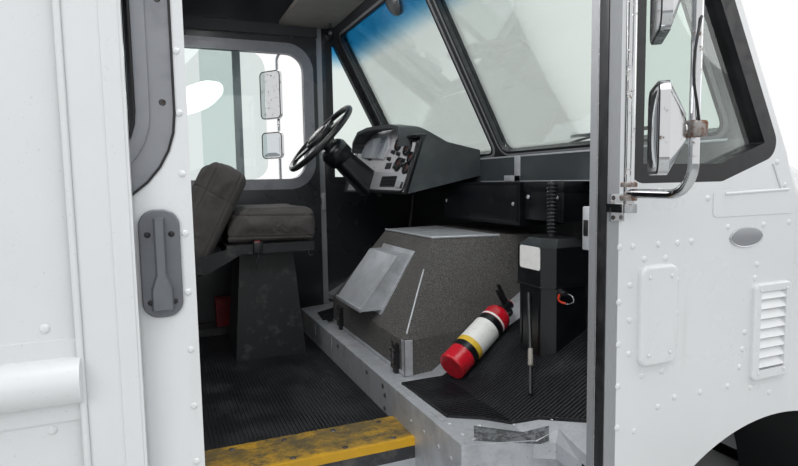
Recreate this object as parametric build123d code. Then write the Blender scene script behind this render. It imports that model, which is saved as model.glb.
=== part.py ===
from build123d import *
from math import cos, radians, sin, tan
import os

os.makedirs("parts", exist_ok=True)

# Walk-in cab section of a step-van food truck, in millimetres.
# +X points forward, +Y to the driver's (left) side and +Z up. The origin is at the
# bottom centre of the section, level with the lower edge of the skirts.
# A piece that both sides have is modelled on the right (-Y) side and mirrored.

# Overall shell
half_width = 1200
wall = 40
body_rear = -1640
body_front = 1640
roof_top = 2500
cant_z = 2090
roof_thick = 40
roof_corner_r = 110
roof_crown = 30

# Doorways and sliding doors
doorway_rear = -646
doorway_front = 273
doorway_top = 2010
post_width = 82
post_proud = 6
jamb_width = 32
sill_top = 60
run_gap = 5
door_thick = 35
door_length = 950
door_open_lead = -558
door_travel = doorway_front - run_gap - door_open_lead
door_bottom = sill_top + run_gap
door_top = doorway_top - run_gap
window_low = 1160
window_high = 1975
window_frame = 58
window_corner_r = 95
window_margin = 22
glass_thick = 6
pocket_thick = 15

# Floor, step wells and front platform
floor_top = 390
floor_thick = 40
well_width = 595
nosing_width = 178
mat_thick = 8
nosing_thick = 25
sheet = 12
tread_thick = 30
riser_x = 80
platform_top = 515
platform_thick = 30
slope_start = 270
slope_deg = 28
firewall_thick = 25

# Front end
seam_x = 883
firewall_x = seam_x - firewall_thick
glass_foot = (840, 1251)
glass_lean = 0.52
cowl_z = 1290
arch_x = 840
arch_z = 20
arch_r = 560
liner_thick = 8
liner_depth = 500
nose_front = 1580
hood_thick = 22
nose_low = 60
hood_front = (1490, 1010)
nose_corner_r = 230
shoulder_r = 120
shoulder_start_r = 24
lid_rear = 905
lid_front = 1430
lid_half = 520
lid_gap = 6
bumper_depth = 60
bumper_height = 230

outer_y = half_width
inner_y = half_width - wall
door_out_y = inner_y - run_gap
door_in_y = door_out_y - door_thick
jamb_in_y = door_out_y - 11
pocket_y = door_in_y - run_gap
pocket_in_y = pocket_y - pocket_thick
slope = tan(radians(slope_deg))
post_rear = doorway_rear - post_width
jamb_front = doorway_front + jamb_width
floor_edge = half_width - well_width
nosing_inner = floor_edge - nosing_width
riser_corner_y = inner_y - 260
platform_corner = (riser_x + 246, inner_y - 184)
gusset_foot = (riser_x + 230, inner_y - 75)
liner_inner_y = half_width - liner_depth
seat_y = inner_y - 540


def block(x0, x1, y0, y1, z0, z1):
    """A box between two corners."""
    centre = Pos((x0 + x1) / 2, (y0 + y1) / 2, (z0 + z1) / 2)
    return centre * Box(abs(x1 - x0), abs(y1 - y0), abs(z1 - z0))


def side_prism(points, y0, y1):
    """A side-view outline of x, z points, run across from y0 to y1."""
    face = Face(Wire.make_polygon([(x, y0, z) for x, z in points], close=True))
    return extrude(face, amount=abs(y1 - y0), dir=(0, 1 if y1 > y0 else -1, 0))


def plan_prism(points, z0, z1):
    """A plan outline of x, y points, run up from z0 to z1."""
    face = Face(Wire.make_polygon([(x, y, z0) for x, y in points], close=True))
    return extrude(face, amount=z1 - z0, dir=(0, 0, 1))


def rod(start, end, radius):
    """A round bar between two points."""
    line = Vector(*end) - Vector(*start)
    plane = Plane(origin=start, z_dir=line)
    return extrude(plane * Circle(radius), amount=line.length)


def rounded_plate(x0, x1, z0, z1, radius, y0, y1):
    """An upright plate with rounded corners, in a side wall."""
    plane = Plane(origin=((x0 + x1) / 2, y0, (z0 + z1) / 2), x_dir=(1, 0, 0), z_dir=(0, -1, 0))
    sketch = plane * RectangleRounded(x1 - x0, z1 - z0, radius)
    return extrude(sketch, amount=abs(y1 - y0), dir=(0, 1 if y1 > y0 else -1, 0))


def mirrored(shape):
    return mirror(shape, about=Plane.XZ)


def glass_x(z):
    """Where the outer face of the windscreen stands at a height."""
    return glass_foot[0] - glass_lean * (z - glass_foot[1])


def deck_z(x):
    """Height of the platform's top at a distance forward."""
    return platform_top + max(0, x - slope_start) * slope


nodes = {}


def both_sides(name, shape):
    """One node for each side."""
    nodes[name + "_right"] = shape
    nodes[name + "_left"] = mirrored(shape)


def pair(shape):
    """A right piece and its mirrored twin, for one node."""
    return Compound(children=[shape.solid(), mirrored(shape).solid()])


# Rear side walls with their door posts and rub rails
rub_rail_z = 912
rub_rail_r = 35
rub_flange = 124
rub_flange_thick = 4
rear_wall = block(body_rear, post_rear, -outer_y + post_proud, -inner_y, 0, cant_z)
rear_post = block(post_rear, doorway_rear, -outer_y, -inner_y, 0, cant_z)
rail_face = -outer_y + post_proud
rail_low = rub_rail_z - rub_flange / 2
rail_high = rub_rail_z + rub_flange / 2
rail_plate = block(body_rear, post_rear, rail_face - rub_flange_thick, rail_face, rail_low, rail_high)
rail_back = rail_face - rub_flange_thick
rail_round = rod((body_rear, rail_back, rub_rail_z), (post_rear, rail_back, rub_rail_z), rub_rail_r)
rail_half = rail_round & block(body_rear, post_rear, rail_back - rub_rail_r, rail_back, rail_low, rail_high)
rub_rail = rail_plate + rail_half
nodes["rub_rails"] = pair(rub_rail)

# Door pocket lining, which also closes the pocket's foot
pocket_lining = block(body_rear + wall, doorway_rear, -pocket_y, -pocket_in_y, sill_top, cant_z)
pocket_foot = block(body_rear + wall, doorway_rear, -inner_y, -pocket_in_y,
                    sill_top - tread_thick, sill_top)

# Sill and header that close the doorway at its foot and top
sill = block(doorway_rear, doorway_front, -outer_y, -inner_y, 0, sill_top)
header = block(doorway_rear, doorway_front, -outer_y, -inner_y, doorway_top, cant_z)
both_sides("body_side", rear_wall + rear_post + sill + header)
jamb = block(doorway_front, jamb_front, -outer_y, -jamb_in_y, 0, cant_z)
nodes["door_jambs"] = pair(jamb)

# Door track: a channel above each door, carried by the wall and the jamb
track_wall = 4
track_height = 58
roller_r = 20
roller_width = 26
track_low = doorway_top + run_gap
track_rear = body_rear + wall
track_y = (door_out_y + door_in_y) / 2
track_slot = 8
track_box = block(track_rear, doorway_front, -inner_y, -pocket_y, track_low, track_low + track_height)
track_hollow = block(track_rear, doorway_front, -inner_y + track_wall, -door_in_y - track_wall,
                     track_low + track_wall, track_low + track_height - track_wall)
track_gap = block(track_rear, doorway_front, -track_y - track_slot, -track_y + track_slot,
                  track_low, track_low + track_wall)
door_track = track_box - track_hollow - track_gap
nodes["door_pockets"] = pair(pocket_lining + pocket_foot + door_track)

# Front side panels with the quarter window and the wheel arch cut out
quarter_rear = 329
quarter_low = 1184
quarter_break = 616
quarter_front = (819, 1251)
quarter_top = 2030
quarter_seal = 42
panel_points = [
    (jamb_front, 0),
    (seam_x, 0),
    (seam_x, 1133),
    glass_foot,
    (glass_x(cant_z), cant_z),
    (jamb_front, cant_z),
]


def quarter_outline(inset, y):
    """The quarter window's outline, a given distance inside its cut-out."""
    front_top = quarter_front[0] - glass_lean * (quarter_top - quarter_front[1])
    points = [
        (quarter_rear, quarter_low),
        (quarter_break, quarter_low),
        quarter_front,
        (front_top, quarter_top),
        (quarter_rear, quarter_top),
    ]
    face = Face(Wire.make_polygon([(x, y, z) for x, z in points], close=True))
    face = fillet(face.vertices(), 45)
    if inset:
        face = offset(face, amount=-inset)
    return face


quarter_cut = extrude(quarter_outline(0, -outer_y), amount=wall, dir=(0, 1, 0))
arch_cut = rod((arch_x, -outer_y - wall, arch_z), (arch_x, -liner_inner_y, arch_z), arch_r)
side_panel = side_prism(panel_points, -outer_y, -inner_y) - quarter_cut - arch_cut
both_sides("side_panel", side_panel)
seal_hole = extrude(quarter_outline(quarter_seal, -outer_y), amount=wall, dir=(0, 1, 0))
nodes["quarter_seals"] = pair(quarter_cut - seal_hole)
quarter_glass = extrude(quarter_outline(quarter_seal, -outer_y + wall / 2), amount=glass_thick, dir=(0, 1, 0))
quarter_panes = [quarter_glass.solid(), mirrored(quarter_glass).solid()]

# Raised cover over the side's access hole, and the louvred engine vent behind the seam
cover_plate = rounded_plate(362, 472, 773, 1002, 22, -outer_y - 14, -outer_y)
nodes["side_covers"] = pair(fillet(cover_plate.edges().group_by(Axis.Y)[0], 8))
vent_rear = 733
vent_front = 866
vent_low = 685
vent_high = 930
vent_rim = 20
vent_thick = 12
vent_lip = 3
vent_slats = 8
vent_face = -outer_y - vent_thick
slat_rear = vent_rear + vent_rim
slat_front = vent_front - vent_rim
slat_low = vent_low + vent_rim + 6
vent = rounded_plate(vent_rear, vent_front, vent_low, vent_high, 14, vent_face, -outer_y)
vent = fillet(vent.edges().group_by(Axis.Y)[0], 5)
vent -= block(slat_rear, slat_front, vent_face, -outer_y - vent_lip, slat_low, vent_high - vent_rim)
slat_pitch = (vent_high - vent_rim - slat_low) / vent_slats
for number in range(vent_slats):
    slat_foot = slat_low + number * slat_pitch
    slat = Face(Wire.make_polygon([
        (slat_rear, -outer_y - vent_lip, slat_foot + slat_pitch),
        (slat_rear, vent_face, slat_foot + slat_pitch / 4),
        (slat_rear, vent_face + vent_lip, slat_foot + slat_pitch / 6),
        (slat_rear, -outer_y - vent_lip, slat_foot + slat_pitch * 2 / 3),
    ], close=True))
    vent += extrude(slat, amount=slat_front - slat_rear, dir=(1, 0, 0))
nodes["side_vents"] = pair(vent)

# Roof with its front cap, one hollow shell open below
cap_foot = glass_x(cant_z)
cap_knee = (cap_foot - 70, 2330)
cap_depth = 130
cap_r = 90
drip_low = cant_z + 14
drip_out = 16
drip_thick = 3
drip_lip = 14


def roof_solid(inset):
    """The roof's outer form, drawn in by a wall thickness on every face but the foot."""
    top = roof_top - inset
    side = Face(Wire.make_polygon([
        (body_rear + inset, 0, cant_z),
        (cap_foot - inset, 0, cant_z),
        (cap_knee[0] - inset, 0, cap_knee[1]),
        (cap_knee[0] - cap_depth, 0, top),
        (body_rear + inset, 0, top),
    ], close=True))
    knee = side.vertices().filter_by(lambda v: cap_knee[0] - cap_depth - 1 < v.X and v.Z > cant_z + 1)
    side = fillet(knee, cap_r - inset)
    side = extrude(side, amount=half_width, both=True, dir=(0, 1, 0))
    w = half_width - inset
    edge = roof_top - roof_crown - inset
    corner = roof_corner_r
    arc = corner * (1 - cos(radians(45)))
    outline = Polyline((0, -w, cant_z), (0, -w, edge - corner))
    outline += ThreePointArc((0, -w, edge - corner), (0, -w + arc, edge - arc), (0, -w + corner, edge))
    outline += ThreePointArc((0, -w + corner, edge), (0, 0, top), (0, w - corner, edge))
    outline += ThreePointArc((0, w - corner, edge), (0, w - arc, edge - arc), (0, w, edge - corner))
    outline += Polyline((0, w, edge - corner), (0, w, cant_z), (0, -w, cant_z))
    section = make_face(outline)
    section = extrude(section, amount=2 * body_front, both=True, dir=(1, 0, 0))
    return side & section


roof_inner = roof_solid(roof_thick)
drip_front = cap_knee[0] - cap_depth
drip_rail = block(body_rear, drip_front, -outer_y - drip_out, -outer_y, drip_low, drip_low + drip_thick)
drip_rail += block(body_rear, drip_front, -outer_y - drip_out, -outer_y - drip_out + drip_thick,
                   drip_low, drip_low + drip_lip)
nodes["roof"] = roof_solid(0) - roof_inner + drip_rail + mirrored(drip_rail)

# Amber lamps: five markers across the roof's front cap, and an indicator under each headlamp
marker_z = 2270
marker_height = 26
marker_half = 46
marker_depth = 20
cap_lean = (cap_foot - cap_knee[0]) / (cap_knee[1] - cant_z)
marker_foot_x = cap_foot - cap_lean * (marker_z - cant_z)
marker_head_x = marker_foot_x - cap_lean * marker_height
marker = side_prism([
    (marker_foot_x, marker_z),
    (marker_foot_x + marker_depth, marker_z + 3),
    (marker_head_x + marker_depth, marker_z + marker_height - 3),
    (marker_head_x, marker_z + marker_height),
], -marker_half, marker_half)
marker_places = [-half_width + 230, -190, 0, 190, half_width - 230]
amber_lamps = [Pos(0, y, 0) * marker for y in marker_places]
indicator_y = half_width - 510
indicator_z = 440
indicator_r = 38
indicator_depth = 22
for y in (-indicator_y, indicator_y):
    dome = rod((nose_front, y, indicator_z), (nose_front + indicator_depth, y, indicator_z), indicator_r)
    amber_lamps.append(fillet(dome.edges().sort_by(Axis.X)[-1], indicator_depth / 2))
nodes["amber_lamps"] = Compound(children=[lamp.solid() for lamp in amber_lamps])

# Rear bulkhead with the walk-through doorway to the kitchen
walkway_half = 380
walkway_top = 2050
bulkhead = block(body_rear, body_rear + wall, -inner_y, inner_y, 0, cant_z)
walkway = block(body_rear - wall, body_rear + 2 * wall, -walkway_half, walkway_half, floor_top, walkway_top)
bulkhead -= walkway
flange_y = inner_y - 160
flange_low = 500
flange_high = 1950
flange_hole_r = 6
for side in (-1, 1):
    for hole_z in (flange_low, flange_high):
        hole_y = side * flange_y
        bulkhead -= rod((body_rear, hole_y, hole_z), (body_rear + wall, hole_y, hole_z), flange_hole_r)
nodes["bulkhead"] = bulkhead

# Main floor, its rubber mat and the worn nosing strip over the right-hand step
floor_rear = body_rear + wall
ledge_inner = inner_y - 200
ledge_high = 440
riser_path = [
    (jamb_front, -inner_y),
    (gusset_foot[0], -gusset_foot[1]),
    (platform_corner[0], -platform_corner[1]),
    (riser_x, -riser_corner_y),
]
deck_points = riser_path + [(x, -y) for x, y in reversed(riser_path)]
deck_points += [(firewall_x, inner_y), (firewall_x, -inner_y)]
deck_plan = plan_prism(deck_points, 0, firewall_x)
step_space = block(doorway_rear, doorway_front, -inner_y, -floor_edge, 0, cant_z)
floor_low = floor_top - floor_thick
main_floor = block(floor_rear, jamb_front, -pocket_in_y, pocket_in_y, floor_low, floor_top)
main_floor -= step_space
main_floor += block(floor_rear, jamb_front, ledge_inner, pocket_in_y, floor_top, ledge_high)
main_floor -= block(doorway_front, jamb_front, -inner_y, -floor_edge, 0, cant_z)
nodes["main_floor"] = main_floor - deck_plan
nosing_top = floor_top + nosing_thick
nodes["step_nosing"] = block(doorway_rear, riser_x, -floor_edge, -nosing_inner, floor_top, nosing_top)
floor_mat = block(floor_rear, jamb_front, -pocket_in_y, ledge_inner, floor_top, floor_top + mat_thick)
floor_mat -= block(doorway_rear, jamb_front, -inner_y, -nosing_inner, floor_top, cant_z)
floor_mat -= deck_plan

# Step well on the right: tread, inner riser and rear wall in one pressing
tread_points = [
    (doorway_rear, -floor_edge),
    (riser_x, -floor_edge),
    (riser_x, -riser_corner_y),
    (platform_corner[0], -platform_corner[1]),
    (gusset_foot[0], -gusset_foot[1]),
    (jamb_front, -inner_y),
    (doorway_rear, -inner_y),
]
tread_low = sill_top - tread_thick
tread = plan_prism(tread_points, tread_low, sill_top)
tread -= block(doorway_front, jamb_front, -inner_y, -jamb_in_y, 0, sill_top)
well_side = block(doorway_rear, riser_x, -floor_edge, -floor_edge + sheet, tread_low, floor_low)
well_back = block(doorway_rear - sheet, doorway_rear, -pocket_in_y, -floor_edge + sheet,
                  tread_low, floor_low)
nodes["step_well"] = tread + well_side + well_back

# Front platform: riser, folded deck with its toe-board, and the rubber mats on it
cover_rear = 155
cover_side = 440
cover_offset = 80
cover_wall = 22
cover_right = cover_offset - cover_side
cover_left = cover_offset + cover_side
cover_front_half = 310
platform_low = platform_top - platform_thick
deck_profile = [
    (riser_x, platform_low),
    (slope_start, platform_low),
    (firewall_x, deck_z(firewall_x) - platform_thick),
    (firewall_x, deck_z(firewall_x)),
    (slope_start, platform_top),
    (riser_x, platform_top),
]


def cover_foot(inset):
    """Plan of the engine cover's foot, which narrows forward, drawn in by a wall."""
    return [
        (cover_rear + inset, cover_right + inset),
        (cover_rear + inset, cover_left - inset),
        (firewall_x, cover_offset + cover_front_half - inset),
        (firewall_x, cover_offset - cover_front_half + inset),
    ]


tunnel = plan_prism(cover_foot(cover_wall), tread_low, firewall_x)
nodes["platform_deck"] = (side_prism(deck_profile, -inner_y, inner_y) & deck_plan) - tunnel
inner_plan = offset(Face(Wire.make_polygon([(x, y, 0) for x, y in deck_points], close=True)), amount=-sheet,
                    kind=Kind.INTERSECTION)
inner_plan = extrude(inner_plan, amount=firewall_x, dir=(0, 0, 1))
riser_ring = plan_prism(deck_points, tread_low, platform_low) - inner_plan
riser_ring -= block(platform_corner[0] + sheet, firewall_x, -inner_y, inner_y, tread_low, platform_low)
nodes["platform_riser"] = riser_ring - block(0, firewall_x, -floor_edge, inner_y, tread_low, floor_low)
mat_gap = 60
mat_plan = [
    (riser_x + 36, cover_right - mat_gap),
    (riser_x + 48, -riser_corner_y + 174),
    (platform_corner[0] - 109, -platform_corner[1] + 191),
    (platform_corner[0] - 6, -platform_corner[1] + 76),
    (platform_corner[0] + 84, -inner_y + mat_gap),
    (firewall_x, -inner_y + mat_gap),
    (firewall_x, cover_right - mat_gap),
]
mat_profile = [
    (riser_x, platform_top),
    (slope_start, platform_top),
    (firewall_x, deck_z(firewall_x)),
    (firewall_x, deck_z(firewall_x) + mat_thick),
    (slope_start, platform_top + mat_thick),
    (riser_x, platform_top + mat_thick),
]
mat_layer = side_prism(mat_profile, -inner_y, inner_y)
mat_right = mat_layer & plan_prism(mat_plan, platform_low, firewall_x)
cover_half = (cover_left - cover_right) / 2
mat_left_plan = [(x, -y + (2 * cover_offset if -y < cover_half + mat_gap else 0)) for x, y in mat_plan]
mat_left = mat_layer & plan_prism(mat_left_plan, platform_low, firewall_x)
nodes["rubber_mats"] = Compound(children=[floor_mat.solid(), mat_right.solid(), mat_left.solid()])

# Firewall with its engine opening, and the cowl beam under the windscreen
cover_top = 975
cowl_low = 1215
frame_depth = 40
hood_slope = (cowl_z - hood_front[1]) / (hood_front[0] - glass_x(cowl_z))


def hood_z(x):
    """Height of the hood's outer line."""
    return cowl_z - (x - glass_x(cowl_z)) * hood_slope



def shoulder_section(x, radius, side_inset, skin):
    """Cross-section of the front end at a distance forward, with rounded upper corners."""
    w = outer_y - side_inset
    top = hood_z(x) - skin
    arc = radius * (1 - cos(radians(45)))
    outline = Polyline((x, -w, -wall), (x, -w, top - radius))
    outline += ThreePointArc((x, -w, top - radius), (x, -w + arc, top - arc), (x, -w + radius, top))
    outline += Line((x, -w + radius, top), (x, w - radius, top))
    outline += ThreePointArc((x, w - radius, top), (x, w - arc, top - arc), (x, w, top - radius))
    outline += Polyline((x, w, top - radius), (x, w, -wall), (x, -w, -wall))
    return make_face(outline)


# The shoulders start square at the windscreen's foot and are fully rounded at the seam
cowl_form = loft([
    shoulder_section(glass_x(cowl_z), shoulder_start_r, 0, 0),
    shoulder_section(seam_x, shoulder_r, 0, 0),
], ruled=True)
firewall = block(firewall_x, seam_x, -inner_y, inner_y, deck_z(firewall_x) - platform_thick, cowl_low)
engine_hole = block(firewall_x, seam_x, cover_offset - cover_front_half + 2 * cover_wall,
                    cover_offset + cover_front_half - 2 * cover_wall, 0, cover_top - 2 * cover_wall)
firewall -= engine_hole
cowl_rear = glass_x(cowl_z) - frame_depth
cowl_points = [
    (cowl_rear, cowl_low),
    (seam_x, cowl_low),
    (seam_x, hood_z(seam_x)),
    (glass_x(cowl_z), cowl_z),
    (cowl_rear, cowl_z),
]
cowl_beam = side_prism(cowl_points, -inner_y, inner_y)
cowl_ahead = cowl_beam & block(glass_x(cowl_z), seam_x, -inner_y, inner_y, 0, roof_top)
nodes["firewall"] = firewall + (cowl_beam - cowl_ahead) + (cowl_ahead & cowl_form)

# Engine cover between the footwells: a tapered box, hollow and open to the engine
cover_band = 640
cover_crest = 365
crest_right = -158
crest_left = 325
crest_front_right = -240
crest_front_left = 400


def cover_solid(inset):
    """The engine cover's outer form, drawn in by its wall."""
    foot = cover_foot(inset)
    crest = [
        (cover_crest + inset, crest_right + inset),
        (cover_crest + inset, crest_left - inset),
        (firewall_x, crest_front_left - inset),
        (firewall_x, crest_front_right + inset),
    ]
    low = Face(Wire.make_polygon([(x, y, cover_band) for x, y in foot], close=True))
    high = Face(Wire.make_polygon([(x, y, cover_top - inset) for x, y in crest], close=True))
    return plan_prism(foot, platform_top, cover_band) + loft([low, high], ruled=True)


under_deck = side_prism([
    (cover_rear, 0),
    (cover_rear, platform_top),
    (slope_start, platform_top),
    (firewall_x, deck_z(firewall_x)),
    (firewall_x, 0),
], -inner_y, inner_y)
nodes["engine_cover"] = cover_solid(0) - cover_solid(cover_wall) - under_deck

# Small sheet-metal box on the cover's sloping rear face
box_right = -60
box_left = 250
box_mid = 95
box_ridge = 60
rear_lean = (cover_crest - cover_rear) / (cover_top - cover_band)
box_low = 690
box_high = 900


def rear_face_x(z):
    """Where the engine cover's sloping rear face stands at a height."""
    return cover_rear + (z - cover_band) * rear_lean


wedge_points = [
    (rear_face_x(box_low), box_low),
    (rear_face_x(box_high), box_high),
    (rear_face_x(box_high) - box_ridge, box_high),
    (rear_face_x(box_low) - box_ridge - 30, box_low),
]
nodes["cover_box"] = side_prism(wedge_points, box_right, box_left)

# Rubber draw latches that hold the cover down
latch_width = 26
latch_thick = 16
latch_high = 620
latch_places = [(cover_right + 60), (cover_left - 150)]
latch = block(cover_rear - latch_thick, cover_rear, -latch_width / 2, latch_width / 2, platform_top, latch_high)
latches = [Pos(0, y, 0) * latch for y in latch_places]
nodes["cover_latches"] = Compound(children=[each.solid() for each in latches])

# Wheel arch liners behind the side panels
liner = rod((arch_x, -inner_y, arch_z), (arch_x, -liner_inner_y, arch_z), arch_r + liner_thick)
liner -= arch_cut
liner &= block(platform_corner[0] + sheet, body_front, -inner_y, -liner_inner_y, nose_low, firewall_x)

# Windscreen frame with its centre post, and the two flat panes
pane_post = 34
pane_side = inner_y - 75
pane_low = 42
pane_high = 60
pane_corner = 40
frame_points = [
    (glass_x(cowl_z), cowl_z),
    (glass_x(cant_z), cant_z),
    (glass_x(cant_z) - frame_depth, cant_z),
    (cowl_rear, cowl_z),
]
lean_length = (1 + glass_lean ** 2) ** 0.5
pane_height = (cant_z - cowl_z) * lean_length
screen_plane = Plane(origin=(glass_x(cowl_z), 0, cowl_z), x_dir=(0, 1, 0), z_dir=(1, 0, glass_lean))
pane_centre = (pane_post + pane_side) / 2
pane_mid = (pane_low + pane_height - pane_high) / 2
pane_size = (pane_side - pane_post, pane_height - pane_high - pane_low)


def pane(side, depth, thick):
    """One windscreen pane's outline, cut to a thickness at a depth behind the frame's face."""
    spot = Pos(side * pane_centre, pane_mid, -depth)
    return extrude(screen_plane * spot * RectangleRounded(*pane_size, pane_corner), amount=-thick)


screen_frame = side_prism(frame_points, -inner_y, inner_y)
for side in (-1, 1):
    screen_frame -= pane(side, -frame_depth, 3 * frame_depth)
nodes["windscreen_frame"] = screen_frame
panes = [pane(side, frame_depth / 3, glass_thick) for side in (-1, 1)]
nodes["fixed_glass"] = Compound(children=quarter_panes + [p.solid() for p in panes])

# Nose and front wings in one moulding, with the hood lid cut out of it
grille_half = 430
grille_low = 470
grille_high = 800
lamp_y = half_width - 510
lamp_z = 640
lamp_r = 92


def nose_solid(side_inset, skin):
    """The nose's outer form, drawn in by the thickness of its sides and its skin."""
    low = nose_low - (wall if skin else 0)
    profile = Face(Wire.make_polygon([(x, 0, z) for x, z in [
        (seam_x, low),
        (seam_x, roof_top),
        (hood_front[0] - skin / 2, hood_z(seam_x) + nose_brow),
        (hood_front[0] - skin / 2, hood_front[1] - skin),
        (nose_front - skin, hood_front[1] - nose_brow),
        (nose_front - skin, low),
    ]], close=True))
    if not skin:
        ahead = profile.vertices().filter_by(lambda v: v.X > hood_front[0] - hood_thick and v.Z < hood_z(seam_x))
        profile = fillet(ahead.filter_by(lambda v: v.Z > hood_front[1] - nose_brow - 1), brow_r)
    form = extrude(profile, amount=outer_y, both=True, dir=(0, 1, 0))
    section = shoulder_section(seam_x, shoulder_r - skin, side_inset, skin)
    reach = (nose_front - seam_x) * (1 + hood_slope ** 2) ** 0.5
    form &= extrude(section, amount=reach, dir=(1, 0, -hood_slope))
    w = outer_y - side_inset
    plan = Face(Wire.make_polygon([(seam_x - wall, -w, 0), (nose_front - skin, -w, 0),
                                   (nose_front - skin, w, 0), (seam_x - wall, w, 0)], close=True))
    front_corners = plan.vertices().sort_by(Axis.X)[-2:]
    plan = fillet(front_corners, nose_corner_r - skin)
    return form & extrude(plan, amount=roof_top, dir=(0, 0, 1))


nose_brow = 130
brow_r = 60
nose = nose_solid(0, 0) - nose_solid(wall, hood_thick)
corner_points = [(seam_x, 1133), glass_foot, (glass_x(roof_top), roof_top), (seam_x, roof_top)]
for inner_side, outer_side in ((-inner_y, -2 * outer_y), (inner_y, 2 * outer_y)):
    nose += side_prism(corner_points, inner_side, outer_side) & cowl_form
nose -= arch_cut
nose -= mirrored(arch_cut)
nose -= block(nose_front - 3 * hood_thick, nose_front, -grille_half, grille_half, grille_low, grille_high)
for side in (-1, 1):
    lamp_place = side * lamp_y
    nose -= rod((nose_front - 4 * hood_thick, lamp_place, lamp_z), (nose_front, lamp_place, lamp_z), lamp_r)
lid_zone = side_prism([
    (lid_rear, hood_z(lid_rear) - 2 * hood_thick),
    (lid_rear, roof_top),
    (lid_front, roof_top),
    (lid_front, hood_z(lid_front) - 2 * hood_thick),
], -lid_half, lid_half)
lid_hole = side_prism([
    (lid_rear - lid_gap, hood_z(lid_rear) - 3 * hood_thick),
    (lid_rear - lid_gap, roof_top),
    (lid_front + lid_gap, roof_top),
    (lid_front + lid_gap, hood_z(lid_front) - 3 * hood_thick),
], -lid_half - lid_gap, lid_half + lid_gap)
# Hood hinges: a pin in two lugs on the nose, and a barrel on the lid round each pin
hinge_x = lid_rear - lid_gap / 2
hinge_z = hood_z(lid_rear) + 14
hinge_pin_r = 5
hinge_barrel_r = 10
hinge_clear = 0.3
hinge_y_out = lid_half - 190
hinge_half = 24
lug_half = 8
lug_gap = 5
leaf_gap = 2
leaf_length = 50
leaf_drop = 60
leaf_half = 4
under_skin = side_prism([
    (seam_x, 0),
    (seam_x, hood_z(seam_x)),
    (body_front, hood_z(body_front)),
    (body_front, 0),
], -lid_half, lid_half)
hood_lid = nose & lid_zone
nose -= lid_hole
for hinge_y in (-hinge_y_out, hinge_y_out):
    near = hinge_y - hinge_half
    far = hinge_y + hinge_half
    barrel = rod((hinge_x, near, hinge_z), (hinge_x, far, hinge_z), hinge_barrel_r)
    leaf = block(lid_rear + leaf_gap, lid_rear + leaf_length, near, far, hinge_z - leaf_drop, hinge_z)
    leaf += block(hinge_x, lid_rear + leaf_length, near, far, hinge_z - leaf_half, hinge_z + leaf_half)
    bore = rod((hinge_x, near, hinge_z), (hinge_x, far, hinge_z), hinge_pin_r + hinge_clear)
    hood_lid += (barrel + leaf - under_skin) - bore
    nose += rod((hinge_x, near - 2 * lug_half, hinge_z), (hinge_x, far + 2 * lug_half, hinge_z), hinge_pin_r)
    for lug_y in (hinge_y - hinge_half - lug_half - lug_gap, hinge_y + hinge_half + lug_half + lug_gap):
        lug = block(hinge_x - 14, hinge_x + 2, lug_y - lug_half, lug_y + lug_half, hinge_z - 40, hinge_z + 8)
        nose += lug - under_skin
nodes["hood_lid"] = hood_lid
nodes["nose"] = nose

nodes["arch_liners"] = pair(liner - nose)

# Grille: a frame with level bars
bar_count = 7
bar_height = 16
grille_depth = 20
grille_rim = 18
grille_back = nose_front - grille_depth
bar_end = grille_half - grille_rim
grille = block(grille_back, nose_front, -grille_half, grille_half, grille_low, grille_high)
grille -= block(grille_back, nose_front, -bar_end, bar_end, grille_low + grille_rim, grille_high - grille_rim)
bar_pitch = (grille_high - grille_low - 2 * grille_rim) / (bar_count + 1)
for number in range(bar_count):
    bar_low = grille_low + grille_rim + (number + 1) * bar_pitch - bar_height / 2
    grille += block(grille_back, nose_front, -bar_end, bar_end, bar_low, bar_low + bar_height)
nodes["grille"] = grille

# Round headlamps, and the bumper on its two brackets
lamp_depth = 70
lamp = rod((nose_front - lamp_depth, -lamp_y, lamp_z), (nose_front, -lamp_y, lamp_z), lamp_r)
nodes["headlamps"] = pair(lamp)
bumper_thick = 8
bumper_half = half_width - 30
bumper_sweep = 60
bumper_back = body_front - bumper_depth
bumper_plan = [
    (bumper_back, -bumper_half),
    (body_front, -bumper_half + bumper_sweep),
    (body_front, bumper_half - bumper_sweep),
    (bumper_back, bumper_half),
]
bumper_hollow = block(bumper_back, body_front - bumper_thick, -bumper_half + bumper_sweep + bumper_thick,
                      bumper_half - bumper_sweep - bumper_thick, bumper_thick, bumper_height - bumper_thick)
nodes["bumper"] = plan_prism(bumper_plan, 0, bumper_height) - bumper_hollow

# Dash: a flat shelf across the cab and the driver's instrument pod
shelf_rear = 740
shelf_low = 1185
shelf_points = [
    (shelf_rear, shelf_low),
    (firewall_x, shelf_low),
    (firewall_x, cowl_low),
    (cowl_rear, cowl_low),
    (cowl_rear, cowl_z),
    (shelf_rear, cowl_z),
]
nodes["dash_shelf"] = side_prism(shelf_points, -inner_y, inner_y)
pod_right = seat_y - 510
pod_left = seat_y + 390
panel_foot = (375, 1140)
panel_head = (455, 1372)
pod_points = [
    panel_foot,
    panel_head,
    (470, 1386),
    (shelf_rear, 1330),
    (shelf_rear, 1215),
]
visor_rear = 385
visor_front = 660
visor_wall = 16
visor_right = pod_right + 92
visor_left = seat_y + 260
visor_low = 1350
visor_points = [
    (visor_right, visor_low),
    (visor_right, 1436),
    (visor_right + 130, 1458),
    (seat_y, 1468),
    (seat_y + 150, 1458),
    (visor_left - 20, 1410),
    (visor_left, visor_low),
]
steer_x = 142
steer_z = 1412
steer_centre = Vector(steer_x, seat_y, steer_z)
steer_lean = 43
column_dir = Vector(cos(radians(steer_lean)), 0, -sin(radians(steer_lean)))
column_r = 30
column_clear = 0.3
hub_r = 42
hub_thick = 50
column_length = 420
pad_r = 78
pad_round = 10
shroud_start = 55
shroud_end = 380
column_start = steer_centre + column_dir * (hub_thick / 2 + column_clear)
column_end = steer_centre + column_dir * column_length


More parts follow.
